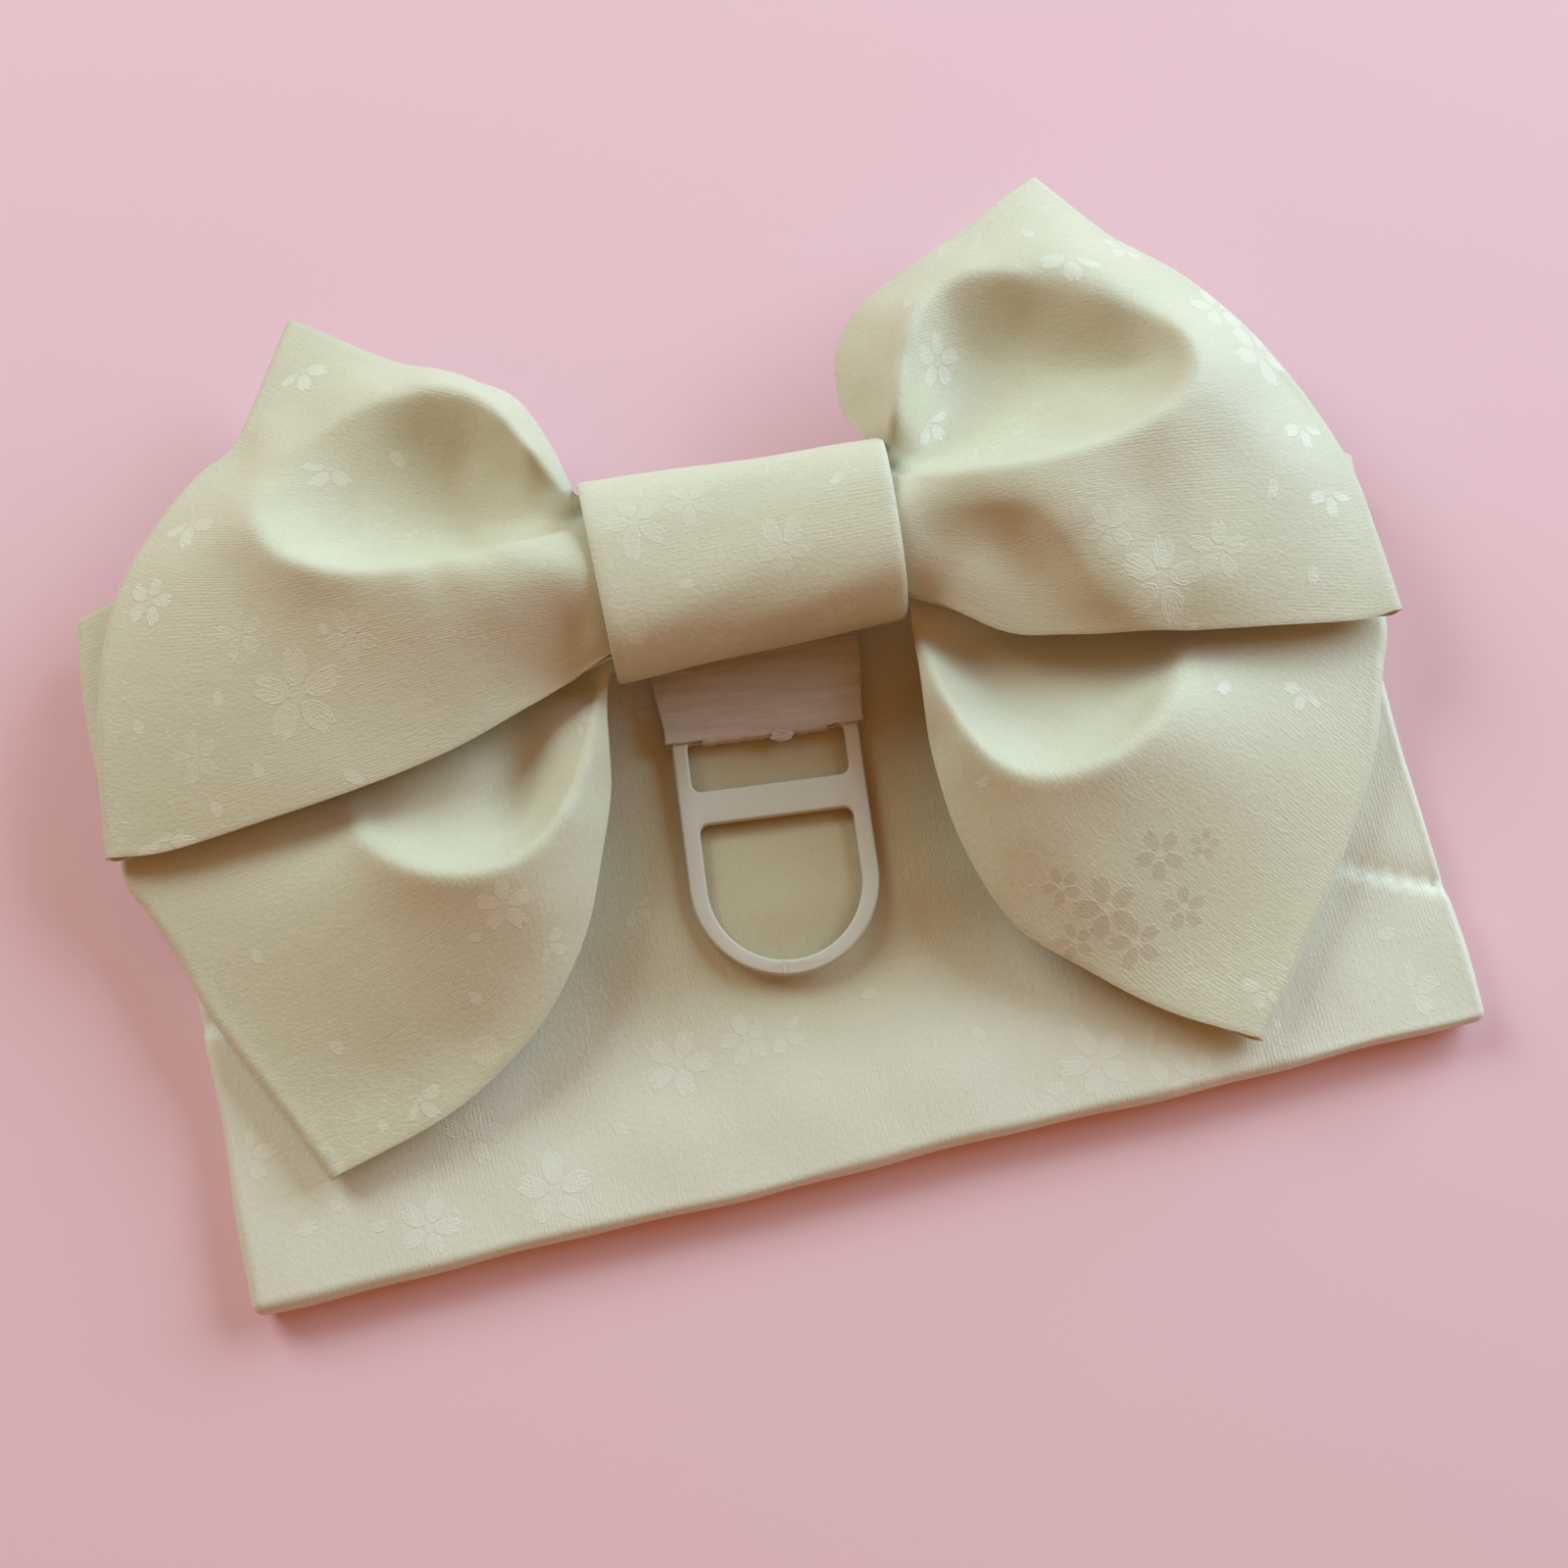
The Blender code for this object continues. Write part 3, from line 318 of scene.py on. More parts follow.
LOWER_LEFT = Wing(
    name="lower_left",
    gather=LOWER_GATHER,
    mouth=(-40.2, -40.8),
    front_top=[(-60, 196), (-100, 203), (-150, 209), (-184, 203)],
    back_top=[(-60, 196), (-100, 203), (-150, 209), (-184, 203)],
    bottom=[(-44, 141), (-48.5, 116), (-55, 98), (-63.5, 79), (-77, 61), (-92, 49),
            (-112, 39), (-142, 31)],
    back_bottom=[(-48, 141), (-52, 116), (-58, 98), (-66, 80), (-79, 63), (-94, 51),
                 (-114, 41), (-142, 31)],
    end=[(-184, 203), (-186, 174), (-183.5, 129), (-178, 115), (-172, 101), (-166, 82),
         (-154, 57), (-142, 31)],
    front=[
        # narrow ridge down from the knot
        Height(-44.5, 150, 31), Height(-49, 134, 32), Height(-55, 120, 34), Height(-62, 109, 35.5),
        # lip of the scoop
        Height(-71, 102, 36), Height(-82, 98.5, 36.5), Height(-92, 98.5, 36.5), Height(-102, 102, 36),
        Height(-110, 108, 34.5), Height(-116, 116, 32), Height(-118.5, 125, 29.5),
        # scoop: valley, western floor, eastern slope
        Height(-68.5, 140, 27), Height(-71.5, 128, 26.5), Height(-75, 115, 28), Height(-77, 107, 32),
        Height(-84, 130, 29.5), Height(-86, 116, 30.5), Height(-98, 118, 32), Height(-98, 130, 31),
        Height(-108, 122, 32), Height(-62, 133, 31), Height(-65, 120, 32), Height(-58, 146, 29.5),
        # face under the upper wing
        Height(-60, 165, 28), Height(-90, 160, 23), Height(-125, 160, 23.5), Height(-60, 190, 28),
        Height(-100, 196, 22), Height(-150, 150, 23), Height(-150, 195, 19),
        # broad face
        Height(-72, 86, 34), Height(-90, 84, 34.5), Height(-112, 92, 33), Height(-132, 112, 29.5),
        Height(-92, 66, 27), Height(-115, 66, 25.5), Height(-140, 85, 25.5), Height(-125, 54, 21),
        Height(-102, 56, 22.5), Height(-160, 120, 23),
        # lower edge and end
        Height(-43.5, 142, 28), Height(-48.5, 116, 28), Height(-55, 98, 28), Height(-63.5, 79, 26),
        Height(-77, 61, 24), Height(-92, 49, 22), Height(-112, 39, 20), Height(-142, 31, 18.6),
        Height(-154, 57, 18.6), Height(-166, 82, 18.6), Height(-178, 115, 18.6), Height(-185, 150, 17),
        Height(-184, 203, 15),
    ],
    back=[Height(-60, 190, 20), Height(-100, 200, 15), Height(-80, 150, 15), Height(-120, 120, 13.5),
          Height(-80, 100, 13.5), Height(-60, 120, 14), Height(-140, 170, 13.5), Height(-60, 90, 14),
          Height(-90, 60, 14)],
    creases=[
        Crease([(-38, 165, 1), (-42, 152, 3), (-48.5, 134, 4.5), (-54.6, 119.6, 5.5), (-61.5, 109.5, 6),
                (-70, 102.6, 6.5), (-81.5, 98.6, 7), (-92, 98.8, 7), (-102, 102.2, 6.5),
                (-110.3, 108.4, 5.5), (-115.8, 115.8, 4), (-118.4, 124.5, 2), (-119.5, 133, 0)],
               left=8, right=3.2),
    ],
    grain=-10,
    blossoms=[
        Blossom(-82, 88, 8, 1.2, FULL), Blossom(-74, 77, 6, 0.2, HALF), Blossom(-117, 45, 7, 0.5, HALF),
        Blossom(-129, 43, 5, 0.3, PAIR), Blossom(-97, 53, 4.5, 0.8, SPOT), Blossom(-99, 70, 6, 0.3, PAIR),
        Blossom(-53, 135, 6, 0.4, HALF), Blossom(-94, 83, 5, 0.9, PAIR), Blossom(-153, 97, 6, 0.4, PAIR),
        Blossom(-138, 66, 6, 0.7, PAIR),
    ],
)

UPPER_RIGHT = Wing(
    name="upper_right",
    gather=UPPER_GATHER,
    mouth=(46.4, 43.2),
    front_top=[(42.6, 195), (39.4, 202), (38.7, 210), (40.6, 220.5), (45, 228.8), (51.5, 234.5),
               (60, 238.8), (81, 248.5), (109.5, 265)],
    back_top=[(45.5, 194.5), (42.5, 202), (41.8, 210), (43.6, 219.5), (49, 228), (62, 237), (82, 246),
              (109.5, 265)],
    bottom=[(65, 132), (83, 126.5), (115.5, 119.8), (144, 116.3), (166, 114.6), (176.5, 115.6)],
    back_bottom=[(65, 136), (83, 131), (115.5, 123.5), (144, 119.6), (176.5, 115.6)],
    end=[(109.5, 265), (125, 240.5), (145, 219), (163, 187), (172.5, 160), (175, 138), (176.5, 115.6)],
    front=[
        # outer slope beyond the rim
        Height(40, 213, 38), Height(46, 229, 38.5), Height(41, 201, 38.5), Height(60, 238, 40.5),
        Height(46, 211, 43), Height(54, 229, 43.5), Height(81, 246, 40.5), Height(70, 238, 43.5),
        # rim over the scoop
        Height(49, 193.4, 44.5), Height(53.5, 203.9, 46), Height(59.5, 217.2, 46.5), Height(66, 226, 46.5),
        Height(81.8, 232, 47.5), Height(93, 229.5, 48.5), Height(106, 224, 48.5), Height(119, 217, 48.5),
        # corner beyond the rim
        Height(92, 241, 44.5), Height(109.5, 264, 32), Height(104, 249, 39.5), Height(116, 240, 41),
        # scoop
        Height(53, 182, 43), Height(60, 191, 40.5), Height(66, 205, 39), Height(74, 200, 36.5),
        Height(76, 215, 38.2), Height(90, 205, 35.8), Height(92, 218, 39.2), Height(106, 202, 37.5),
        Height(120, 197, 41), Height(70, 184, 42.5), Height(90, 184, 43.5), Height(108, 187, 44.5),
        # ridge below and round the scoop
        Height(58, 174, 49.5), Height(76, 171.5, 51), Height(95, 171.5, 51.5), Height(110, 174, 51.5),
        Height(121, 177.5, 51.5), Height(130, 184, 50.5), Height(134.5, 192, 49.5), Height(132, 203, 48.5),
        # broad face, down to the recess
        Height(56, 168, 51.7), Height(70, 166, 52.2), Height(80, 162, 52.2), Height(87.5, 154, 51.5),
        Height(92.5, 146, 50), Height(98.5, 134, 47.5), Height(107, 126.5, 44.5),
        Height(110, 158, 51), Height(135, 165, 48),
        Height(150, 190, 44), Height(140, 212, 41), Height(155, 160, 42), Height(140, 140, 43),
        Height(112, 142, 48), Height(124, 131, 44.5),
        # recess by the knot
        Height(55, 158, 48.6), Height(66, 156.5, 47.8), Height(74, 153, 46.6), Height(79, 145, 44.9),
        Height(84, 135, 43.2), Height(92, 127, 41.5), Height(62, 146, 45.4),
        # lower edge and end
        Height(50, 139, 40), Height(65, 132.5, 40), Height(83, 128, 40.2), Height(115.5, 120.5, 40.5),
        Height(144, 117, 35.5), Height(171, 115, 28), Height(177.5, 118, 27), Height(176.5, 140, 30),
        Height(163.5, 187, 34), Height(145, 219, 36), Height(125, 240.5, 35),
    ],
    back=[Height(44, 212, 35.5), Height(53, 229, 35.5), Height(81, 241, 33), Height(80, 200, 29.5),
          Height(90, 205, 28.5), Height(70, 165, 36.5), Height(100, 150, 35.5), Height(66, 138, 36.5),
          Height(115, 125, 34.5), Height(140, 160, 32)],
    creases=[
        Crease([(43, 184, 0), (47, 188, 3), (50.5, 194.5, 7), (54, 203.9, 8), (60, 217.2, 7.5),
                (65, 225, 6), (72, 230, 4), (82, 232.3, 2.5), (92, 230, 1.5), (104, 225, 0)],
               left=4, right=6),
        Crease([(38, 177.5, 1), (45, 177, 3.5), (52, 175.6, 5), (57.8, 174.4, 6), (69, 172.6, 6.5),
                (82, 171, 6.5), (95, 171.4, 6.5), (108, 173.2, 6), (120, 176.8, 6), (128.8, 182.4, 5.5),
                (133.6, 189.1, 5), (134.6, 197, 4), (131, 205.5, 2.5), (122, 213, 1), (108, 222, 0)],
               left=3, right=12),
        Crease([(50, 166.5, 0), (60, 164.5, 0.4), (71, 162.5, 1.8), (78.6, 158.9, 3.2), (83.8, 151.8, 4),
                (86.8, 146.1, 3.5), (92, 134, 2.5), (101.5, 125.4, 1), (112, 120, 0)],
               left=14, right=1.8),
    ],
    grain=8,
    blossoms=[
        Blossom(110, 134, 13, 1.1, DRAWN), Blossom(128, 138, 9, 1.1, DRAWN), Blossom(99, 149, 8, 0.6, DRAWN),
        Blossom(118, 123, 6, 0.5, PAIR), Blossom(157, 194, 12, 0.7, FULL), Blossom(163, 171, 8, 0.5, HALF),
        Blossom(149, 211, 9, 0.2, FULL), Blossom(165, 151, 8, 0.4, HALF), Blossom(111, 231, 10, 1.0, HALF),
        Blossom(67, 211, 9, 0.1, FULL), Blossom(60, 194, 8, 0.1, HALF), Blossom(63, 230, 6, 0.8, PAIR),
        Blossom(155, 132, 7, 0.4, PAIR), Blossom(149, 157, 7, 0.7, PAIR), Blossom(129, 236, 7, 0.6, FULL),
        Blossom(100, 246, 6, 0.4, PAIR),
    ],
)

LOWER_RIGHT = Wing(
    name="lower_right",
    gather=LOWER_GATHER,
    mouth=(46.4, 43.2),
    front_top=[(60, 190), (100, 190), (150, 184), (180, 168)],
    back_top=[(60, 190), (100, 190), (150, 184), (180, 168)],
    bottom=[(43.5, 141), (42, 130), (40, 107), (41.5, 81), (50, 55), (67.5, 37), (85.5, 22),
            (106.5, 10)],
    back_bottom=[(48.5, 140), (47.5, 126), (44.5, 107), (44.5, 82), (52.5, 57), (69, 39),
                 (86.5, 24), (106.5, 10)],
    end=[(180, 168), (177.5, 145), (174.5, 117), (169, 103), (159.5, 80), (141, 52), (121, 27),
         (106.5, 10)],
    front=[
        # narrow ridge down from the knot
        Height(45, 141, 31), Height(44.5, 128, 32.5), Height(46.5, 115.5, 34), Height(49.5, 104, 35),
        # lip of the scoop
        Height(55, 95, 35.5), Height(62, 90, 36), Height(73, 88, 36.5), Height(84, 89.5, 36.5),
        Height(96, 94.5, 36), Height(105.5, 103, 34), Height(112, 112, 31), Height(114.5, 122, 28),
        # scoop
        Height(56, 132, 26.5), Height(60, 116, 28), Height(72, 103, 30.5), Height(90, 105, 30),
        Height(80, 117, 27.5), Height(100, 114, 28), Height(70, 126, 26.5),
        # face under the upper wing
        Height(62, 160, 27.5), Height(92, 148, 22.5), Height(125, 150, 23), Height(62, 186, 27),
        Height(100, 184, 22), Height(150, 150, 22), Height(150, 176, 19), Height(135, 125, 25),
        # broad face
        Height(58, 76, 34.5), Height(78, 72, 34.5), Height(100, 76, 33), Height(122, 92, 31),
        Height(72, 54, 29), Height(96, 50, 25.5), Height(122, 66, 25.5), Height(143, 92, 24.5),
        Height(108, 34, 20.4), Height(120, 48, 21.5), Height(98, 30, 20.6),
        # lower edge and end
        Height(43.5, 141, 28), Height(40, 107, 28), Height(41.5, 81, 27), Height(50, 55, 24),
        Height(67.5, 37, 22), Height(85.5, 22, 20), Height(106.5, 10, 18.6), Height(121, 27, 18.6),
        Height(141, 52, 18.6), Height(159.5, 80, 18.6), Height(169, 103, 18.6), Height(176, 130, 17),
        Height(180, 168, 15),
    ],
    back=[Height(60, 186, 20), Height(100, 188, 15), Height(80, 145, 15), Height(120, 115, 13.5),
          Height(80, 95, 13.5), Height(55, 115, 14), Height(140, 150, 13.5), Height(55, 85, 14),
          Height(80, 55, 14)],
    creases=[
        Crease([(42, 158, 1), (42.6, 145.5, 3), (44, 128.4, 4.5), (46, 115.5, 5.5), (49.4, 104, 6),
                (54.8, 95.2, 6.5), (62.2, 90, 7), (72.6, 88.1, 7), (84, 89.4, 7), (95.6, 94.4, 6),
                (105.3, 103, 5), (111.8, 112, 3.5), (114.2, 121.5, 1.5), (115, 129, 0)],
               left=3.6, right=9),
    ],
    grain=14,
    blossoms=[
        # Most blossoms on this face are of the kind with painted shade, darker satin for a face in shade
        Blossom(93, 62, 8, 1.1, PAINTED_SHADE_KIND), Blossom(75, 52, 10, 0.1, PAINTED_SHADE_KIND), Blossom(82, 42, 8, 0.1, PAINTED_SHADE_KIND),
        Blossom(96, 47, 7, 0.3, PAINTED_SHADE_KIND), Blossom(65, 61, 6, 1.0, PAINTED_SHADE_KIND), Blossom(126, 106, 7, 0.8, PAIR),
        Blossom(145, 99, 7, 0.3, HALF), Blossom(113, 22, 7, 0.4, HALF), Blossom(53, 92, 5, 0.2, PAIR),
        Blossom(105, 63, 5, 0.6, PAINTED_SHADE_KIND), Blossom(65, 45, 6, 0.1, PAINTED_SHADE_KIND),
    ],
)

BELT_BLOSSOMS = [
    Blossom(-107, 34, 9, 0.3, FULL), Blossom(-88, 14, 11, 0.1, FULL), Blossom(-122, 12, 9, 0.5, FULL),
    Blossom(-139, 16, 6, 0.2, PAIR), Blossom(-158, 18, 7, 0.1, PAIR), Blossom(-48, 40, 10, 0.5, FULL),
    Blossom(-27, 42, 8, 1.1, FULL), Blossom(-17, 43, 7, 1.0, HALF), Blossom(65, 14, 11, 1.0, FULL),
    Blossom(79, 13, 9, 0.3, HALF), Blossom(90, 3, 8, 0.7, FULL), Blossom(47, 10, 7, 0.3, PAIR),
    Blossom(-167, 43, 8, 0.2, HALF), Blossom(154, 13, 9, 0.1, HALF), Blossom(148, 29, 7, 0.3, PAIR),
    Blossom(32, 31, 6, 1.2, PAIR), Blossom(-38, 141, 7, 1.0, FULL), Blossom(-49, 84, 6, 1.0, HALF),
    Blossom(-149, 26, 6, 1.0, PAIR), Blossom(6, 46, 6, 0.2, PAIR), Blossom(113, 8, 7, 0.4, HALF),
    Blossom(-70, 28, 6, 0.8, PAIR),
]
KNOT_BLOSSOMS = [
    Blossom(-25, 180, 9, 0.9, DRAWN), Blossom(-11, 182, 7, 1.1, DRAWN), Blossom(22, 138, 8, 1.2, DRAWN),
    Blossom(-10, 141, 7, 0.9, DRAWN), Blossom(12, 163, 8, 1.2, DRAWN), Blossom(-40, 150, 7, 0.0, PAIR),
    Blossom(-19, 159, 5, 0.4, PAIR), Blossom(28, 176, 6, 1.2, PAIR),
]


def even_points(corners, steps):
    """steps + 1 points, evenly spaced along a smooth curve through the corners."""
    corners = np.array(corners, dtype=float)
    before = 2 * corners[0] - corners[1]
    after = 2 * corners[-1] - corners[-2]
    padded = np.vstack([before, corners, after])
    fine = []
    for a, b, c, d in zip(padded, padded[1:], padded[2:], padded[3:]):
        for u in np.linspace(0, 1, CURVE_STEPS, endpoint=False):
            fine.append(0.5 * (2 * b + (c - a) * u + (2 * a - 5 * b + 4 * c - d) * u ** 2
                               + (3 * b - a - 3 * c + d) * u ** 3))
    fine = np.array(fine + [corners[-1]])
    run = np.concatenate([[0], np.cumsum(np.linalg.norm(np.diff(fine, axis=0), axis=1))])
    wanted = np.linspace(0, run[-1], steps + 1)
    return np.column_stack([np.interp(wanted, run, column) for column in fine.T])


def patch(top, bottom, end, steps):
    """Plan grid inside an outline: rows from the knot to the end, columns from top to bottom."""
    end = even_points(end, ACROSS_STEPS)
    s = np.linspace(-KNOT_STEPS / steps, 1, KNOT_STEPS + steps + 1).clip(0)[:, None, None]
    t = np.linspace(0, 1, ACROSS_STEPS + 1)[None, :, None]
    knot = top[0] * (1 - t) + bottom[0] * t
    across = top[:, None] * (1 - t) + bottom[:, None] * t
    along = knot * (1 - s) + end[None] * s
    corners = ((top[0] * (1 - t) + bottom[0] * t) * (1 - s)
               + (top[-1] * (1 - t) + bottom[-1] * t) * s)
    belly = math.copysign(BELLY, end[0][0]) * 4 * s * (1 - s) * np.sqrt(4 * t * (1 - t))
    return across + along - corners + belly * np.array([1, 0])


class Relief:
    """Smooth height over a plan, like a thin plate bent through the given heights."""

    def __init__(self, heights):
        rows = np.array(heights, dtype=float)
        self.places = rows[:, :2]
        count = len(rows)
        plane = np.column_stack([np.ones(count), self.places])
        system = np.zeros((count + 3, count + 3))
        system[:count, :count] = self.bend(self.places)
        system[:count, count:] = plane
        system[count:, :count] = plane.T
        self.weights = np.linalg.solve(system, np.concatenate([rows[:, 2], np.zeros(3)]))

    def bend(self, places):
        reach = np.linalg.norm(places[:, None] - self.places[None], axis=2)
        return reach ** 2 * np.log(reach + 1e-9)

    def __call__(self, plan):
        flat = plan.reshape(-1, 2)
        plane = np.column_stack([np.ones(len(flat)), flat])
        heights = np.column_stack([self.bend(flat), plane]) @ self.weights
        return heights.reshape(plan.shape[:-1])


def crease_rise(plan, crease):
    """Height that a crease adds over a plan: sharp along its line, fading to each side."""
    flat = plan.reshape(-1, 2)
    line = even_points(crease.line, CREASE_STEPS)
    nearest = np.full(len(flat), 1e9)
    rise = np.zeros(len(flat))
    side = np.ones(len(flat))
    for a, b in zip(line, line[1:]):
        step = b[:2] - a[:2]
        share = ((flat - a[:2]) @ step / (step @ step)).clip(0, 1)
        off = flat - a[:2] - share[:, None] * step
        far = np.linalg.norm(off, axis=1)
        closer = far < nearest
        nearest[closer] = far[closer]
        rise[closer] = (a[2] + (b[2] - a[2]) * share)[closer]
        side[closer] = np.sign(step[0] * off[:, 1] - step[1] * off[:, 0])[closer]
    soft = np.sqrt(nearest ** 2 + CREASE_SOFT ** 2) - CREASE_SOFT
    width = np.where(side > 0, crease.left, crease.right)
    return (rise * np.exp(-soft / width)).reshape(plan.shape[:-1])


def knot_inside(x):
    """Middle and half depth of the knot band's inside at a place along it."""
    left, right = KNOT_ENDS
    share = (x - left["x"]) / (right["x"] - left["x"])
    middle = left["y"] + (right["y"] - left["y"]) * share
    half = left["half"] + (right["half"] - left["half"]) * share - KNOT_WALL
    return middle, half


def gather_rows(wing, folds):
    """The gather keeps its folds from the middle of the knot to its mouth."""
    top, bottom = wing.mouth
    rows = []
    for share in (0, 0.35, 0.7, 1):
        for fold in folds:
            x = share * (bottom + (top - bottom) * (fold.across + 1) / 2)
            middle, half = knot_inside(x)
            rows.append(Height(x, middle + fold.across * half, fold.z))
    return rows


def edge_points(mouth, fold, outline, steps):
    """Edge of a layer: straight through the knot band, then along the outline."""
    inside = []
    for share in np.linspace(0, 1, KNOT_STEPS + 1):
        x = math.copysign(SEAM_GAP, mouth) * (1 - share) + mouth * share
        middle, half = knot_inside(x)
        inside.append((x, middle + fold.across * half))
    return np.vstack([inside[:-1], even_points([inside[-1]] + outline, steps)])


def tree_of(grid):
    """Search tree over a grid of points, for finding what lies under a place."""
    rows, columns = grid.shape[:2]
    faces = []
    for i in range(rows - 1):
        for j in range(columns - 1):
            a = i * columns + j
            faces.append((a, a + 1, a + columns + 1, a + columns))
    return BVHTree.FromPolygons([Vector(p) for p in grid.reshape(-1, 3)], faces)


def lie_over(grid, tree, spacing):
    """Raises a grid of points until it lies clear of the surface under it."""
    down = Vector((0, 0, -1))
    probes = [(0, 0)]
    for reach in PROBE_REACHES:
        for turn in range(PROBE_TURNS):
            angle = math.tau * turn / PROBE_TURNS
            probes.append((reach * math.cos(angle), reach * math.sin(angle)))
    for point in grid.reshape(-1, 3):
        for dx, dy in probes:
            hit = tree.ray_cast(Vector((point[0] + dx, point[1] + dy, ABOVE_ALL)), down)[0]
            if hit:
                point[2] = max(point[2], hit.z + spacing - DRAPE_SLOPE * math.hypot(dx, dy))


def layer_plan(wing, folds, top_line, bottom_line, steps):
    """Plan grid of one layer of a wing, from inside the knot band to the wing's end."""
    top, bottom = wing.mouth
    return patch(edge_points(top, folds[0], top_line, steps),
                 edge_points(bottom, folds[-1], bottom_line, steps), wing.end, steps)


def wing_layers(wing, under):
    """Middle surfaces of a wing's front and back layers, clear of what is under them."""
    folds = wing.gather["front"]
    front_plan = layer_plan(wing, folds, wing.front_top, wing.bottom, FRONT_STEPS)
    front_relief = Relief(gather_rows(wing, folds) + wing.front)
    folds = wing.gather["back"]
    back_plan = layer_plan(wing, folds, wing.back_top, wing.back_bottom, BACK_STEPS)
    ends = even_points(wing.end, 6)
    end_heights = front_relief(ends) - 2 * END_FOLD
    fold_rows = [Height(x, y, z) for (x, y), z in zip(ends, end_heights)]
    back_relief = Relief(gather_rows(wing, folds) + wing.back + fold_rows)
    front = np.dstack([front_plan, front_relief(front_plan)])
    for crease in wing.creases:
        front[:, :, 2] += crease_rise(front_plan, crease)
    back = np.dstack([back_plan, back_relief(back_plan)])
    for tree in under:
        lie_over(back, tree, STACK)
    lie_over(front, tree_of(back), STACK)
    front[-1, :, 2] = np.maximum(front[-1, :, 2], back[-1, :, 2] + 2 * END_FOLD)
    return front, back


def end_fold(front, back):
    """Rows of points that turn from the front layer down into the back layer."""
    rim_front = front[-1]
    rim_back = back[-1]
    outward = rim_front - front[-2]
    outward[:, 2] = 0
    outward /= np.linalg.norm(outward, axis=1)[:, None]
    middle = (rim_front + rim_back) / 2
    half = (rim_front - rim_back) / 2
    rows = []
    for step in range(1, FOLD_STEPS + 1):
        angle = math.pi * step / (FOLD_STEPS + 1)
        rows.append(middle + half * math.cos(angle) + outward * END_FOLD * math.sin(angle))
    return np.array(rows)


def cloth_grid(places, grain=0.0):
    """A sheet through a grid of places, with its lengths along the cloth as a UV map."""
    rows, columns = places.shape[:2]
    bm = bmesh.new()
    bmesh.ops.create_grid(bm, x_segments=columns - 1, y_segments=rows - 1, size=1)
    bm.verts.index_update()
    cloth = bm.loops.layers.uv.new("cloth")
    blossom = bm.loops.layers.uv.new("blossom")
    along = np.linalg.norm(np.diff(places, axis=0), axis=2).mean(axis=1)
    across = np.linalg.norm(np.diff(places, axis=1), axis=2).max(axis=0)
    run_along = np.concatenate([[0], np.cumsum(along)])
    run_across = np.concatenate([[0], np.cumsum(across)])
    c, s = math.cos(grain), math.sin(grain)
    cell = {}
    for vert in bm.verts:
        j = round((vert.co.x + 1) / 2 * (columns - 1))
        i = round((vert.co.y + 1) / 2 * (rows - 1))
        cell[vert] = (i, j)
        vert.co = Vector(places[i, j]) * MM + PLAN_SHIFT
    for face in bm.faces:
        for loop in face.loops:
            i, j = cell[loop.vert]
            u, v = run_along[i] * MM, run_across[j] * MM
            loop[cloth].uv = (u * c + v * s, v * c - u * s)
            loop[blossom].uv = NO_BLOSSOM
    return bm, cell


def blossom_spot(places, b):
    """Finds a blossom's cell on a grid, and how the grid runs there."""
    off = np.linalg.norm(places[:, :, :2] - np.array([b.x, b.y]), axis=2)
    off = off + HIDDEN_PENALTY * np.maximum(0, places[:, :, 2].max() - places[:, :, 2])
    i, j = np.unravel_index(np.argmin(off), off.shape)
    i = min(max(i, 2), places.shape[0] - 3)
    j = min(max(j, 2), places.shape[1] - 3)
    along = (places[i + 2, j] - places[i - 2, j]) / 4
    across = (places[i, j + 2] - places[i, j - 2]) / 4
    first = along / np.linalg.norm(along)
    upright = np.cross(along, across)
    second = np.cross(upright / np.linalg.norm(upright), first)
    axes = (first * math.cos(b.turn) + second * math.sin(b.turn),
            second * math.cos(b.turn) - first * math.sin(b.turn))
    reach = BLOSSOM_REACH * b.radius
    return BlossomSpot(b, i, j, along, across, reach / np.linalg.norm(along),
                       reach / np.linalg.norm(across), axes)


def lay_blossoms(bm, cell, places, blossoms):
    """Gives each face its place in the nearest blossom, in shares of the blossom's radius."""
    layer = bm.loops.layers.uv["blossom"]
    spots = [blossom_spot(places, blossom) for blossom in blossoms]
    for face in bm.faces:
        cells = [cell[v] for v in face.verts]
        mid_i = sum(c[0] for c in cells) / 4
        mid_j = sum(c[1] for c in cells) / 4
        nearest, best = math.inf, None
        for spot in spots:
            if abs(mid_i - spot.i) > spot.reach_i or abs(mid_j - spot.j) > spot.reach_j:
                continue
            off = spot.along * (mid_i - spot.i) + spot.across * (mid_j - spot.j)
            far = (off @ off) / spot.blossom.radius ** 2
            if far < nearest:
                nearest, best = far, spot
        if best is None:
            continue
        for loop in face.loops:
            i, j = cell[loop.vert]
            off = (best.along * (i - best.i) + best.across * (j - best.j)) / best.blossom.radius
            loop[layer].uv = (off @ best.axes[0] + KIND_STEP * best.blossom.kind,
                              off @ best.axes[1])


def face_up(bm):
    """Turns a sheet over if its first faces, which show, look down."""
    bm.faces.ensure_lookup_table()
    if sum(bm.faces[k].normal.z for k in range(len(bm.faces) // 3)) < 0:
        bmesh.ops.reverse_faces(bm, faces=bm.faces)


def finished(name, bm, material):
    """Makes an object at the origin of a finished mesh."""
    mesh = bpy.data.meshes.new(name)
    bm.to_mesh(mesh)
    bm.free()
    mesh.shade_smooth()
    mesh.materials.append(material)
    obj = bpy.data.objects.new(name, mesh)
    bpy.context.collection.objects.link(obj)
    return obj


def give_wall(obj, wall, offset, rim):
    """Cloth thickness, and a soft rim where the cloth is cut or turned under."""
    solid = obj.modifiers.new("wall", 'SOLIDIFY')
    solid.thickness = wall * MM
    solid.offset = offset
    solid.use_quality_normals = True
    edge = obj.modifiers.new("soft rim", 'BEVEL')
    edge.width = rim * MM
    edge.segments = 2
    edge.limit_method = 'ANGLE'
    edge.angle_limit = math.radians(60)


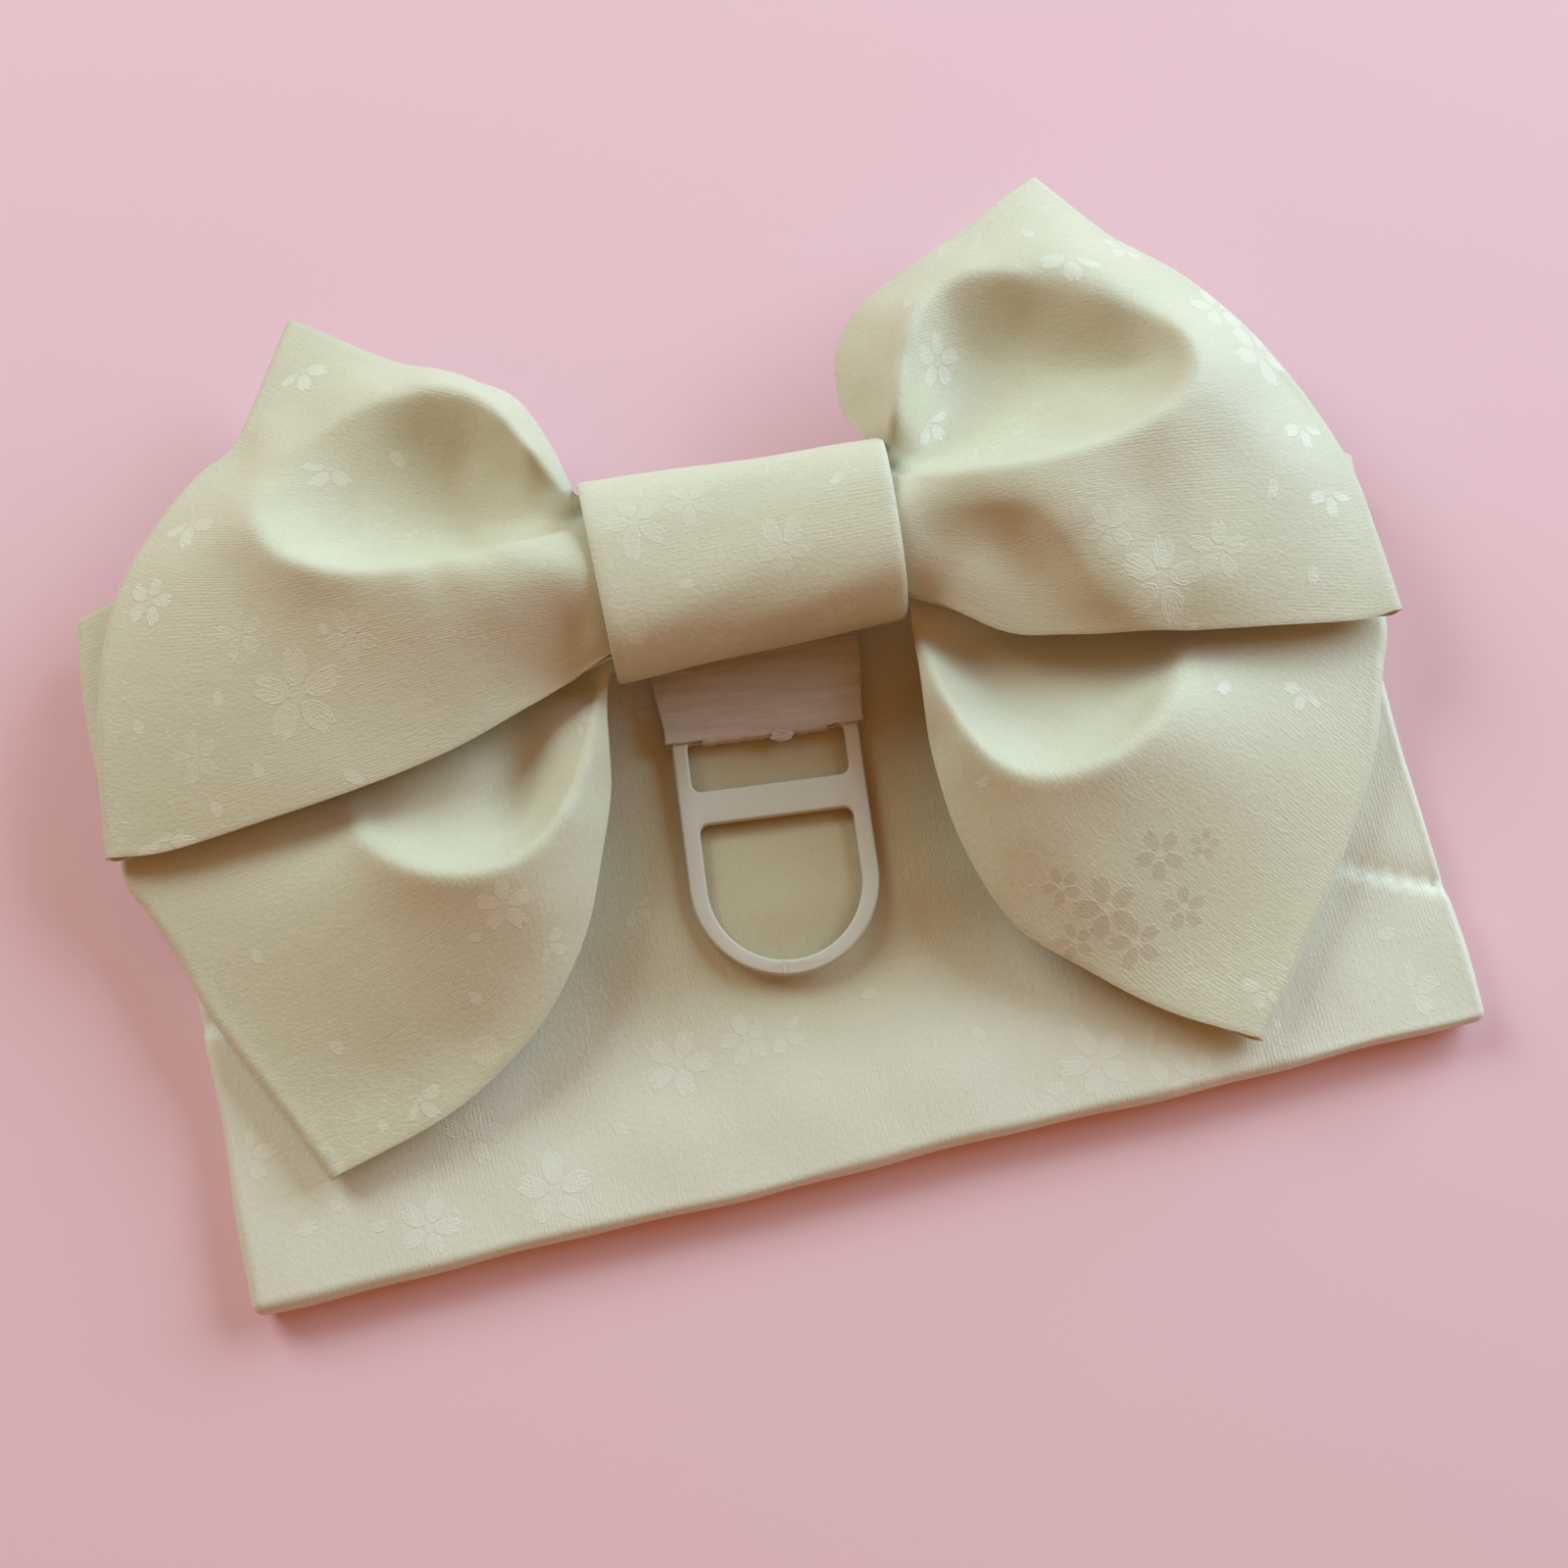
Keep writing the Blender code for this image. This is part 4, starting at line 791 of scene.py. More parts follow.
def make_wing(wing, under, material):
    """One loop of the bow, and a search tree over it for the loop that lies on it."""
    front, back = wing_layers(wing, under)
    places = np.concatenate([front, end_fold(front, back), back[::-1]])
    bm, cell = cloth_grid(places, math.radians(wing.grain))
    lay_blossoms(bm, cell, places, wing.blossoms)
    face_up(bm)
    # lets the crisp lines settle like cloth
    loose = [v for v in bm.verts if not v.is_boundary]
    for _ in range(SETTLE_ROUNDS):
        bmesh.ops.smooth_vert(bm, verts=loose, factor=0.5, use_axis_x=True, use_axis_y=True,
                              use_axis_z=True)
    obj = finished(wing.name + "_loop", bm, material)
    give_wall(obj, CLOTH, 0, 0.4)
    return obj, tree_of(front[::2, ::2])


def belt_dip(x, y):
    """How far the belt's top sinks at its two short creases: slowly above the line, a step below."""
    sunk = 0
    for crease in BELT_CREASES:
        inward = BELT_LENGTH / 2 - crease.side * x
        off = y - crease.y - crease.slope * inward
        fade = max(0, 1 - inward / crease.length)
        width = crease.width + CREASE_SPREAD * inward
        fall = off / width if off > 0 else -off / CREASE_BELOW
        sunk += crease.depth * fade * math.exp(-fall)
    return sunk


def ripple(waves, x, y):
    """Height of a few slanting waves at a place."""
    return sum(high * math.sin(x / along + y / across + start) for high, along, across, start in waves)


def belt_wave(x, y):
    """Slack of the belt's top layer, the broad hollow below the hook, and the fall to the right."""
    off = (y - HOLLOW_Y) / (HOLLOW_ABOVE if y > HOLLOW_Y else HOLLOW_BELOW)
    hollow = HOLLOW_DEPTH * math.cos(math.pi / 2 * min(1.0, abs(off))) ** 2
    hollow *= 0.5 + 0.5 * math.cos(math.pi * min(1.0, abs(x - HOLLOW_X) / HOLLOW_HALF_LENGTH))
    fall = RIGHT_FALL_SLOPE * max(0.0, x - RIGHT_FALL_START)
    return ripple(SLACK_WAVES, x, y) - hollow - fall


def belt_spot(x, y):
    """Rounds a corner of the belt, and gives the distance to the edge and the way outwards."""
    half_x, half_y = BELT_LENGTH / 2, BELT_WIDTH / 2
    u = (abs(x) - (half_x - BELT_CORNER)) / BELT_CORNER
    v = (abs(y) - (half_y - BELT_CORNER)) / BELT_CORNER
    if u > 0 and v > 0:
        u, v = u * math.sqrt(1 - v * v / 2), v * math.sqrt(1 - u * u / 2)
        out = Vector((u, v)).normalized()
        reach = math.hypot(u, v)
    else:
        out = Vector((1, 0)) if u > v else Vector((0, 1))
        reach = max(u, v)
    place = Vector((math.copysign(half_x - BELT_CORNER + u * BELT_CORNER, x),
                    math.copysign(half_y - BELT_CORNER + v * BELT_CORNER, y)))
    out = Vector((math.copysign(out.x, x), math.copysign(out.y, y)))
    return place, BELT_CORNER * (1 - reach), out


def closer_at_ends(half, step, steps):
    """Place of a step from -half to half, with the steps closer together at both rolled edges."""
    share = 2 * step / steps - 1
    return half * math.sin(math.pi / 2 * share) * 0.5 + half * share * 0.5


def belt_top():
    """Places of the folded band's top sheet, and the way outwards at each."""
    columns, rows = BELT_GRID
    half_x, half_y = BELT_LENGTH / 2, BELT_WIDTH / 2
    places = np.zeros((rows + 1, columns + 1, 3))
    outward = {}
    for i in range(rows + 1):
        for j in range(columns + 1):
            place, inset, out = belt_spot(closer_at_ends(half_x, j, columns),
                                          closer_at_ends(half_y, i, rows))
            slack = EDGE_SLACK + ripple(EDGE_WAVES, place.x, place.y)
            place -= out * slack * max(0.0, 1 - inset / EDGE_SLACK_REACH)
            plan_y = place.y + half_y
            roll = max(0.0, 1 - inset / BELT_ROLL)
            drop = BELT_TOP_LAYER * (1 - math.sqrt(max(0.0, 1 - roll * roll)))
            z = (BELT_HEIGHT - drop + belt_wave(place.x, plan_y) * (1 - roll)
                 - belt_dip(place.x, plan_y))
            places[i, j] = (place.x, plan_y, z)
            outward[i, j] = out
    return places, outward


def belt_side(bm, cell, places, outward):
    """Draws the folded layers down from the top sheet's edge, ring by ring, and closes the base."""
    cloth = bm.loops.layers.uv["cloth"]
    rim = [edge for edge in bm.edges if edge.is_boundary]
    spot = {}
    for edge in rim:
        for vert in edge.verts:
            spot[vert] = (places[cell[vert]], outward[cell[vert]], 0.0)
    for out_by, z, wander in BELT_SIDE:
        made = bmesh.ops.extrude_edge_only(bm, edges=rim)["geom"]
        fresh = [g for g in made if isinstance(g, bmesh.types.BMVert)]
        rim = [g for g in made if isinstance(g, bmesh.types.BMEdge) and g.is_boundary]
        faces = [g for g in made if isinstance(g, bmesh.types.BMFace)]
        above = {}
        for vert in fresh:
            for edge in vert.link_edges:
                other = edge.other_vert(vert)
                if other in spot:
                    above[vert] = other
        for vert in fresh:
            place, out, run = spot[above[vert]]
            uneven = wander * math.sin(place[0] / 17 + place[1] / 11 + z)
            flat = Vector((place[0], place[1])) + out * (out_by + uneven)
            low = min(z, place[2] - 0.4)
            vert.co = Vector((flat.x, flat.y, low)) * MM + PLAN_SHIFT
            spot[vert] = (place, out, run + RING_CLOTH)
        for face in faces:
            for loop in face.loops:
                place, out, run = spot[loop.vert]
                loop[cloth].uv = ((place[1] + out.y * run) * MM, (place[0] + out.x * run) * MM)
    base = bmesh.ops.contextual_create(bm, geom=rim)["faces"]
    bmesh.ops.inset_region(bm, faces=base, thickness=1 * MM, use_even_offset=False)


def make_belt(material):
    """Folded band: a soft rounded top sheet, and its three layers showing at the edges."""
    places, outward = belt_top()
    bm, cell = cloth_grid(places)
    lay_blossoms(bm, cell, places, BELT_BLOSSOMS)
    face_up(bm)
    belt_side(bm, cell, places, outward)
    bmesh.ops.recalc_face_normals(bm, faces=bm.faces)
    obj = finished("folded_band", bm, material)
    give_wall(obj, BELT_CLOTH, -1, 0.2)
    return obj


def make_knot(material):
    """Knot band: one tube of cloth, its ends turned in."""
    around, along = KNOT_GRID
    left, right = KNOT_ENDS
    power = 2 / KNOT_SQUARENESS
    middle_z = KNOT_BOTTOM + KNOT_HEIGHT / 2
    places = np.zeros((around + 1, along + 1, 3))
    for j in range(along + 1):
        share = j / along
        here = {key: left[key] * (1 - share) + right[key] * share for key in left}
        hem = min(share, 1 - share) * KNOT_LENGTH
        turn_in = KNOT_HEM * (1 - math.sqrt(1 - (1 - min(hem, KNOT_HEM) / KNOT_HEM) ** 2))
        swell = math.sin(math.pi * share)
        for i in range(around + 1):
            angle = -math.pi / 2 + math.tau * i / around
            c, s = math.cos(angle), math.sin(angle)
            crumple = KNOT_CRUMPLE * math.sin(angle * 7 + share * 9) * swell ** 0.5
            shrink = turn_in + KNOT_SLACK * swell + crumple + KNOT_CLEAR
            y = (here["half"] - shrink) * math.copysign(abs(c) ** power, c)
            z = (KNOT_HEIGHT / 2 - shrink) * math.copysign(abs(s) ** power, s)
            places[i, j] = (here["x"] + here["lean"] * y, here["y"] + y, middle_z + z)
    bm, cell = cloth_grid(places, math.radians(90))
    lay_blossoms(bm, cell, places, KNOT_BLOSSOMS)
    bmesh.ops.remove_doubles(bm, verts=bm.verts, dist=0.01 * MM)
    bmesh.ops.recalc_face_normals(bm, faces=bm.faces)
    if sum(f.normal.z * (f.calc_center_median().z - middle_z * MM) for f in bm.faces) < 0:
        bmesh.ops.reverse_faces(bm, faces=bm.faces)
    obj = finished("knot_cover", bm, material)
    give_wall(obj, KNOT_WALL - 0.6, -1, 0.4)
    return obj


def tape_path():
    """Tape from the side, as (y, z): down the top ply, round the hook's bar and back under the knot."""
    bar_y = HOOK_TOP[1]
    reach_y = HOOK_BAR_HALF + 2 * SEAM_GAP + TAPE_THICKNESS / 2
    reach_z = HOOK_THICKNESS / 2 + SEAM_GAP + TAPE_THICKNESS / 2
    top = KNOT_BOTTOM - SEAM_GAP - TAPE_THICKNESS / 2
    closed = bar_y + TAPE_CLOSED
    path = [(y, top) for y in np.linspace(TAPE_END, bar_y + reach_y, 20)]
    for step in range(13):
        angle = math.pi * (0.5 + step / 12)
        c, s = math.cos(angle), math.sin(angle)
        path.append((bar_y + reach_y * math.copysign(abs(c) ** 0.6, c),
                     BAR_Z + reach_z * math.copysign(abs(s) ** 0.6, s)))
    path += [(bar_y + reach_y, BAR_Z - reach_z), (bar_y + reach_y + 3.5, BAR_Z - 0.9)]
    path += [(y, top - TAPE_THICKNESS) for y in np.linspace(closed, TAPE_END, 10)]
    return path


def tape_fibres(u, y):
    """Uneven felted height of the tape's face."""
    return (0.10 * math.sin(u * 1.9 + y * 4.1) * math.sin(u * 0.7 - y * 2.3)
            + 0.06 * math.sin(u * 5.3 + y * 7.7))


def on_tape(u, v):
    """Plan place of a point across and along the tape, from the middle of the hook's bar."""
    c, s = math.cos(HOOK_TURN), math.sin(HOOK_TURN)
    return HOOK_TOP[0] + u * c - v * s, HOOK_TOP[1] + u * s + v * c


def make_tape(material):
    """Soft tape looped round the hook's bar, open at the rails, with a torn scrap at its lower edge."""
    path = tape_path()
    places = np.zeros((len(path), TAPE_COLUMNS + 1, 3))
    for i, (y, z) in enumerate(path):
        dy = y - HOOK_TOP[1]
        half = TAPE_WIDTH / 2 - TAPE_TAPER * max(0.0, 1 - max(dy, 0) / TAPE_TAPER_LENGTH)
        for j in range(TAPE_COLUMNS + 1):
            u = half * (2 * j / TAPE_COLUMNS - 1)
            frayed = 0.25 * math.sin(dy * 1.7) * (abs(u) / half) ** 12
            u += math.copysign(frayed, u)
            along = dy + 0.22 * math.sin(u * 1.3) * math.sin(u * 0.37 + 1) * (dy < 0)
            places[i, j] = (*on_tape(u, along), z + tape_fibres(u, y))
    bm, cell = cloth_grid(places)
    clear = HOOK_THICKNESS / 2 + SEAM_GAP
    rail_inside = HOOK_WIDTH / 2 - HOOK_RAIL - HOOK_CORNER
    at_rails = []
    for face in bm.faces:
        rows = [cell[v][0] for v in face.verts]
        us = [TAPE_WIDTH / 2 * (2 * cell[v][1] / TAPE_COLUMNS - 1) for v in face.verts]
        low, high = path[min(rows)], path[max(rows)]
        mid_z = (low[1] + high[1]) / 2
        round_bar = low[0] < HOOK_TOP[1] and abs(mid_z - BAR_Z) < clear
        if round_bar and min(abs(u) for u in us) > rail_inside - 1:
            at_rails.append(face)
    bmesh.ops.delete(bm, geom=at_rails, context='FACES')
    scrap = bmesh.ops.create_grid(bm, x_segments=8, y_segments=4, size=1)["verts"]
    for vert in scrap:
        x, y = vert.co.x, vert.co.y
        u = SCRAP_PLACE[0] + x * (SCRAP_HALF[0] - 0.9 * abs(y)) + 0.4 * math.sin(y * 4)
        v = SCRAP_PLACE[1] + y * (SCRAP_HALF[1] - 0.6 * x ** 2)
        z = BAR_Z + 1.5 + 0.6 * y + 0.25 * math.sin(x * 3)
        vert.co = Vector((*on_tape(u, v), z)) * MM + PLAN_SHIFT
    face_up(bm)
    obj = finished("webbing_tape", bm, material)
    give_wall(obj, TAPE_THICKNESS - 0.2, 0, 0.2)
    return obj


def hook_matrix():
    """Turns hook sizes (across, up the page, up) to its place on the band."""
    place = Matrix.Translation(Vector((*HOOK_TOP, HOOK_BASE)) * MM + PLAN_SHIFT)
    return place @ Matrix.Rotation(HOOK_TURN, 4, 'Z') @ Matrix.Rotation(HOOK_TIP, 4, 'X')


def corner_arc(u, v, corner, quarter):
    """Points round one corner of an outline, over the given quarter of a turn."""
    angles = [math.pi / 2 * (quarter + step / 8) for step in range(9)]
    return [(u + corner * math.cos(angle), v - corner * math.sin(angle)) for angle in angles]


def d_outline(half, top, bottom, corner, count):
    """Closed outline of a D: a straight top with rounded corners and a round foot."""
    points = corner_arc(half - corner, top + corner, corner, 0)
    points += corner_arc(corner - half, top + corner, corner, 1)
    straight = bottom - 1.02 * half
    for step in range(count + 1):
        angle = math.pi * step / count
        points.append((-half * math.cos(angle), straight + (bottom - straight) * math.sin(angle)))
    return points


def slot_outline(half, top, bottom, corner):
    """Closed outline of the slot: a rectangle with rounded corners."""
    points = []
    for quarter, side in enumerate((1, -1, -1, 1)):
        v = top + corner if quarter < 2 else bottom - corner
        points += corner_arc(side * (half - corner), v, corner, quarter)
    return points


def make_hook(material):
    """Moulded D ring with its slot: one flat curve with two holes, rounded all over."""
    curve = bpy.data.curves.new("hook_outline", 'CURVE')
    curve.dimensions = '2D'
    curve.fill_mode = 'BOTH'
    half = HOOK_WIDTH / 2
    rail = half - HOOK_RAIL
    for outline in (d_outline(half, -HOOK_BAR_HALF, HOOK_LENGTH, HOOK_OUTER_CORNER, 72),
                    slot_outline(rail, HOOK_BAR_HALF, HOOK_SLOT_END, HOOK_CORNER),
                    d_outline(rail - 0.6, HOOK_HOLE_TOP, HOOK_LENGTH - HOOK_RAIL, HOOK_CORNER, 60)):
        spline = curve.splines.new('POLY')
        spline.points.add(len(outline) - 1)
        spline.use_cyclic_u = True
        for point, (u, v) in zip(spline.points, outline):
            point.co = (u * MM, -v * MM, 0, 1)
    curve.bevel_depth = HOOK_ROUND * MM
    curve.bevel_resolution = 3
    curve.offset = -HOOK_ROUND * MM
    curve.extrude = (HOOK_THICKNESS / 2 - HOOK_ROUND) * MM
    flat = bpy.data.objects.new("hook_flat", curve)
    bpy.context.collection.objects.link(flat)
    mesh = bpy.data.meshes.new_from_object(flat)
    bpy.data.objects.remove(flat)
    bm = bmesh.new()
    bm.from_mesh(mesh)
    bmesh.ops.remove_doubles(bm, verts=bm.verts, dist=0.005 * MM)
    gate = bmesh.ops.create_cone(bm, cap_ends=True, segments=16, radius1=GATE_RADIUS * MM,
                                 radius2=0.7 * GATE_RADIUS * MM, depth=HOOK_THICKNESS * MM)["verts"]
    bmesh.ops.scale(bm, verts=gate, vec=(1, GATE_STRETCH, 1))
    bmesh.ops.translate(bm, verts=gate, vec=Vector((GATE_PLACE[0], -GATE_PLACE[1], GATE_RISE / 2)) * MM)
    bmesh.ops.translate(bm, verts=bm.verts, vec=(0, 0, HOOK_THICKNESS / 2 * MM))
    bmesh.ops.transform(bm, matrix=hook_matrix(), verts=bm.verts)
    bmesh.ops.recalc_face_normals(bm, faces=bm.faces)
    obj = finished("moulded_hook", bm, material)
    obj.data.set_sharp_from_angle(angle=math.radians(35))
    return obj


class Socket:
    """A shader value: adding, scaling and so on make Math nodes."""

    def __init__(self, maker, socket):
        self.maker = maker
        self.socket = socket

    def math(self, operation, *others):
        values = [self] + list(others)
        return self.maker.node("ShaderNodeMath", dict(operation=operation), dict(enumerate(values)))

    def __add__(self, other):
        return self.math('ADD', other)

    __radd__ = __add__

    def __sub__(self, other):
        return self.math('SUBTRACT', other)

    def __rsub__(self, other):
        return self.maker.node("ShaderNodeMath", dict(operation='SUBTRACT'), {0: other, 1: self})

    def __mul__(self, other):
        return self.math('MULTIPLY', other)

    __rmul__ = __mul__

    def __truediv__(self, other):
        return self.math('DIVIDE', other)

    def __pow__(self, other):
        return self.math('POWER', other)

    def __abs__(self):
        return self.math('ABSOLUTE')

    def between(self, low, high):
        """0 at low, 1 at high, and smooth between."""
        return self.maker.node("ShaderNodeMapRange", dict(interpolation_type='SMOOTHSTEP'),
                               {"Value": self, "From Min": low, "From Max": high})


class MaterialMaker:
    """Builds one node material."""

    def __init__(self, name):
        self.material = bpy.data.materials.new(name)
        self.material.use_nodes = True
        self.tree = self.material.node_tree
        self.shader = self.tree.nodes["Principled BSDF"]

    def plug(self, target, value):
        """Links a shader value to an input, or sets the input to a plain value or colour."""
        if isinstance(value, Socket):
            self.tree.links.new(value.socket, target)
        elif isinstance(value, tuple) and len(value) == 3 and target.type == 'RGBA':
            target.default_value = (*value, 1)
        else:
            target.default_value = value

    def node(self, kind, settings=None, inputs=None, output=0):
        """Makes a node: its settings first, then the values or links of its inputs."""
        made = self.tree.nodes.new(kind)
        for key, value in (settings or {}).items():
            setattr(made, key, value)
        for key, value in (inputs or {}).items():
            self.plug(made.inputs[key], value)
        return Socket(self, made.outputs[output])

    def place(self):
        """Place on the object, which is its place in the frame, as every object is at the origin."""
        return self.node("ShaderNodeTexCoord", output="Object")

    def uv(self, name):
        return self.node("ShaderNodeUVMap", dict(uv_map=name))

    def parts(self, vector):
        """First and second part of a vector."""
        return [self.node("ShaderNodeSeparateXYZ", {}, {0: vector}, output=k) for k in (0, 1)]

    def noise(self, vector, scale, detail, stretch=(1, 1, 1)):
        """Noise over a vector. A stretch below 1 draws it out that way."""
        placed = self.node("ShaderNodeMapping", {}, {"Vector": vector, "Scale": stretch})
        return self.node("ShaderNodeTexNoise", {},
                         {"Vector": placed, "Scale": scale, "Detail": detail, "Roughness": 0.6})

    def mix(self, factor, first, second):
        return self.node("ShaderNodeMix", dict(data_type='RGBA'), {0: factor, 6: first, 7: second},
                         output=2)

    def bump(self, height, strength, distance):
        return self.node("ShaderNodeBump", {}, {"Height": height, "Strength": strength,
                                                "Distance": distance})

    def finish(self, **sockets):
        """Plugs values into the shader's sockets, named with _ for a space, and gives the material."""
        for name, value in sockets.items():
            self.plug(self.shader.inputs[name.replace("_", " ")], value)
        return self.material


def woven_blossoms(m, wander):
    """Filled petals, lines, veins and the kind with painted shade, read from the blossom map."""
    x, y = m.parts(m.uv("blossom"))
    kind = ((x + KIND_STEP / 2) / KIND_STEP).math('FLOOR')
    x = x - kind * KIND_STEP
    half, pair, round_spot, drawn, painted_shade = [kind.math('COMPARE', k, 0.3)
                                           for k in (HALF, PAIR, SPOT, DRAWN, PAINTED_SHADE_KIND)]
    reach = (x * x + y * y).math('SQRT')
    turn = y.math('ARCTAN2', x) * (PETALS / math.tau) + 0.5
    number = turn.math('FLOOR')
    lean = (turn - number - 0.5) * (math.tau / PETALS)
    along = reach * lean.math('COSINE') + wander * 0.2
    aside = abs(reach * lean.math('SINE')) + wander * 0.12
    oval = (((along - 0.58) / 0.40) ** 2 + (aside / 0.25) ** 2).math('SQRT')
    notch = (along - 0.80 - aside * 1.3).between(-0.02, 0.03)
    in_half = 1 - half * (1 - y.between(-0.1, 0.0))
    not_in_pair = pair * (1 - (number - 0.5).math('COMPARE', 0.5, 0.6))
    kept = (in_half - not_in_pair - round_spot).between(0.0, 1.0)
    petal = (1 - oval.between(0.88, 1.04)) * (1 - notch) * kept
    outline = (1 - abs(oval - 0.93).between(0.03, 0.09)) * (1 - notch) * kept
    inner_line = (1 - abs(oval - 0.72).between(0.02, 0.07)) * (1 - notch) * kept
    veins = ((lean * 46).math('SINE') * 0.5 + 0.5) * petal
    heart = (1 - reach.between(0.13, 0.19)) * kept
    spot = (1 - reach.between(0.85, 0.95)) * round_spot
    ribbed = (y * 24).math('SINE').between(-0.3, 0.3) * spot
    filled = petal * (1 - drawn * 0.55) + spot * 0.5
    lines = outline * 0.6 + drawn * (outline * 0.4 + inner_line * 0.7) + heart * 0.7 + ribbed * 0.6
    return filled, lines, veins, painted_shade


def band_painted_light_and_shade(m, cloth, colour):
    """Painted shade, warm and dark, in the middle of the band's top below the bow, and painted light, paler,
    towards its ends.
    """
    up, right = m.parts(cloth)
    off = (((up - BAND_SHADE_MIDDLE[0]) / BAND_SHADE_REACH[0]) ** 2
           + ((right - BAND_SHADE_MIDDLE[1]) / BAND_SHADE_REACH[1]) ** 2).math('SQRT')
    return m.mix(off.between(0.3, 1.35), m.mix(0.42, colour, BAND_PAINTED_SHADE), m.mix(0.38, colour, BAND_PAINTED_LIGHT))


def jacquard(name, band=False):
    """Cream jacquard: crepe ground with fine ribs, and cherry blossoms in a smoother weave."""
    m = MaterialMaker(name)
    cloth = m.uv("cloth")
    across = m.parts(cloth)[1]
    filled, lines, veins, painted_shade = woven_blossoms(m, m.noise(cloth, 240.0, 2.0) - 0.5)
    twigs = m.noise(cloth, 95.0, 1.0, (1, 1.3, 1))
    twig = (1 - abs(twigs - 0.5).between(0.005, 0.02)) * m.noise(cloth, 21.0, 1.0).between(0.54, 0.62)
    crepe = m.noise(cloth, 800.0, 3.0, (0.8, 1.1, 1))
    crinkle = m.noise(cloth, 150.0, 4.0, (0.7, 1, 1))
    slub = m.noise(cloth, 340.0, 2.0, (0.2, 1, 1))
    patches = m.noise(cloth, 16.0, 2.0)
    broad = m.noise(cloth, 7.0, 1.0)
    ribs = (across * (math.tau / RIB_PITCH) + patches * 14).math('SINE') * patches.between(0.42, 0.6)
    ground = m.mix(broad.between(0.35, 0.65), GROUND, GROUND_BROAD)
    ground = m.mix(patches.between(0.3, 0.7) * 0.6, ground, GROUND_PATCH)
    raised = crepe * 0.85 + slub * 0.1 + crinkle * 0.3 + ribs * 0.03 - 0.31
    woven = m.mix(raised, ground, CREPE_LIGHT)
    # Blossoms of the kind with painted shade get darker petals, as satin in shade
    petals = m.mix(painted_shade, PETAL_PALE, PETAL_PAINTED_SHADE)
    figured = m.mix(filled * (0.42 + 0.15 * veins), woven, petals)
    colour = m.mix((lines * 0.3 + twig * 0.2).math('MINIMUM', 1.0), figured, THREAD_LIGHT)
    # On the band: painted shade below the bow and painted light towards the ends
    if band:
        colour = band_painted_light_and_shade(m, cloth, colour)
    height = (crepe * 0.9 + slub * 0.2 + ribs * 0.07 + crinkle * 0.6 * (1 - filled * 0.6)
              + filled * 0.3 + veins * 0.15 + lines * 0.2 + twig * 0.12)
    return m.finish(Base_Color=colour, Roughness=0.50 - filled * 0.14 + crepe * 0.1,
                    Normal=m.bump(height, 0.7, 0.00028), Sheen_Weight=0.12, Sheen_Roughness=0.4)


def moulded_plastic():
    """White injection-moulded plastic, a little yellowed, with faint flow marks."""
    m = MaterialMaker("moulded_white_plastic")
    place = m.place()
    flow = m.noise(place, 60.0, 2.0)
    fine = m.noise(place, 900.0, 2.0)
    colour = m.mix(flow, PLASTIC_DEEP, PLASTIC_PALE)
    return m.finish(Base_Color=colour, Roughness=0.36 + fine * 0.12,
                    Normal=m.bump(fine * 0.4 + flow, 0.2, 0.0004))


def woven_webbing():
    """Soft white tape with slightly wavy weft lines and lint."""
    m = MaterialMaker("woven_webbing")
    place = m.place()
    turned = m.node("ShaderNodeMapping", {}, {"Vector": place, "Rotation": (0, 0, -HOOK_TURN)})
    wander = m.noise(turned, 45.0, 2.0)
    fuzz = m.noise(turned, 700.0, 4.0, (0.3, 1, 1))
    strands = m.noise(turned, 420.0, 3.0, (0.12, 1, 1))
    along = m.parts(turned)[1]
    weft = (along * (math.tau / WEFT_PITCH) + wander * 14 + strands * 9).math('SINE') * 0.5 + 0.5
    shade = m.mix(strands * 0.9 + weft * 0.08, TAPE_DEEP, TAPE_PALE)
    return m.finish(Base_Color=shade, Roughness=0.85,
                    Normal=m.bump(weft * 0.15 + strands * 1.5 + fuzz, 0.7, 0.0004), Sheen_Weight=0.4,
                    Sheen_Roughness=0.5)


def lamp(name, place, size, power, colour):
    """A soft rectangular light that looks at the middle of the floor."""
    data = bpy.data.lights.new(name, 'AREA')
    data.shape = 'RECTANGLE'
    data.size, data.size_y = size
    data.energy = power
    data.color = colour
    obj = bpy.data.objects.new(name, data)
    obj.location = place
    obj.rotation_euler = (-Vector(place)).to_track_quat('-Z', 'Y').to_euler()
    bpy.context.collection.objects.link(obj)


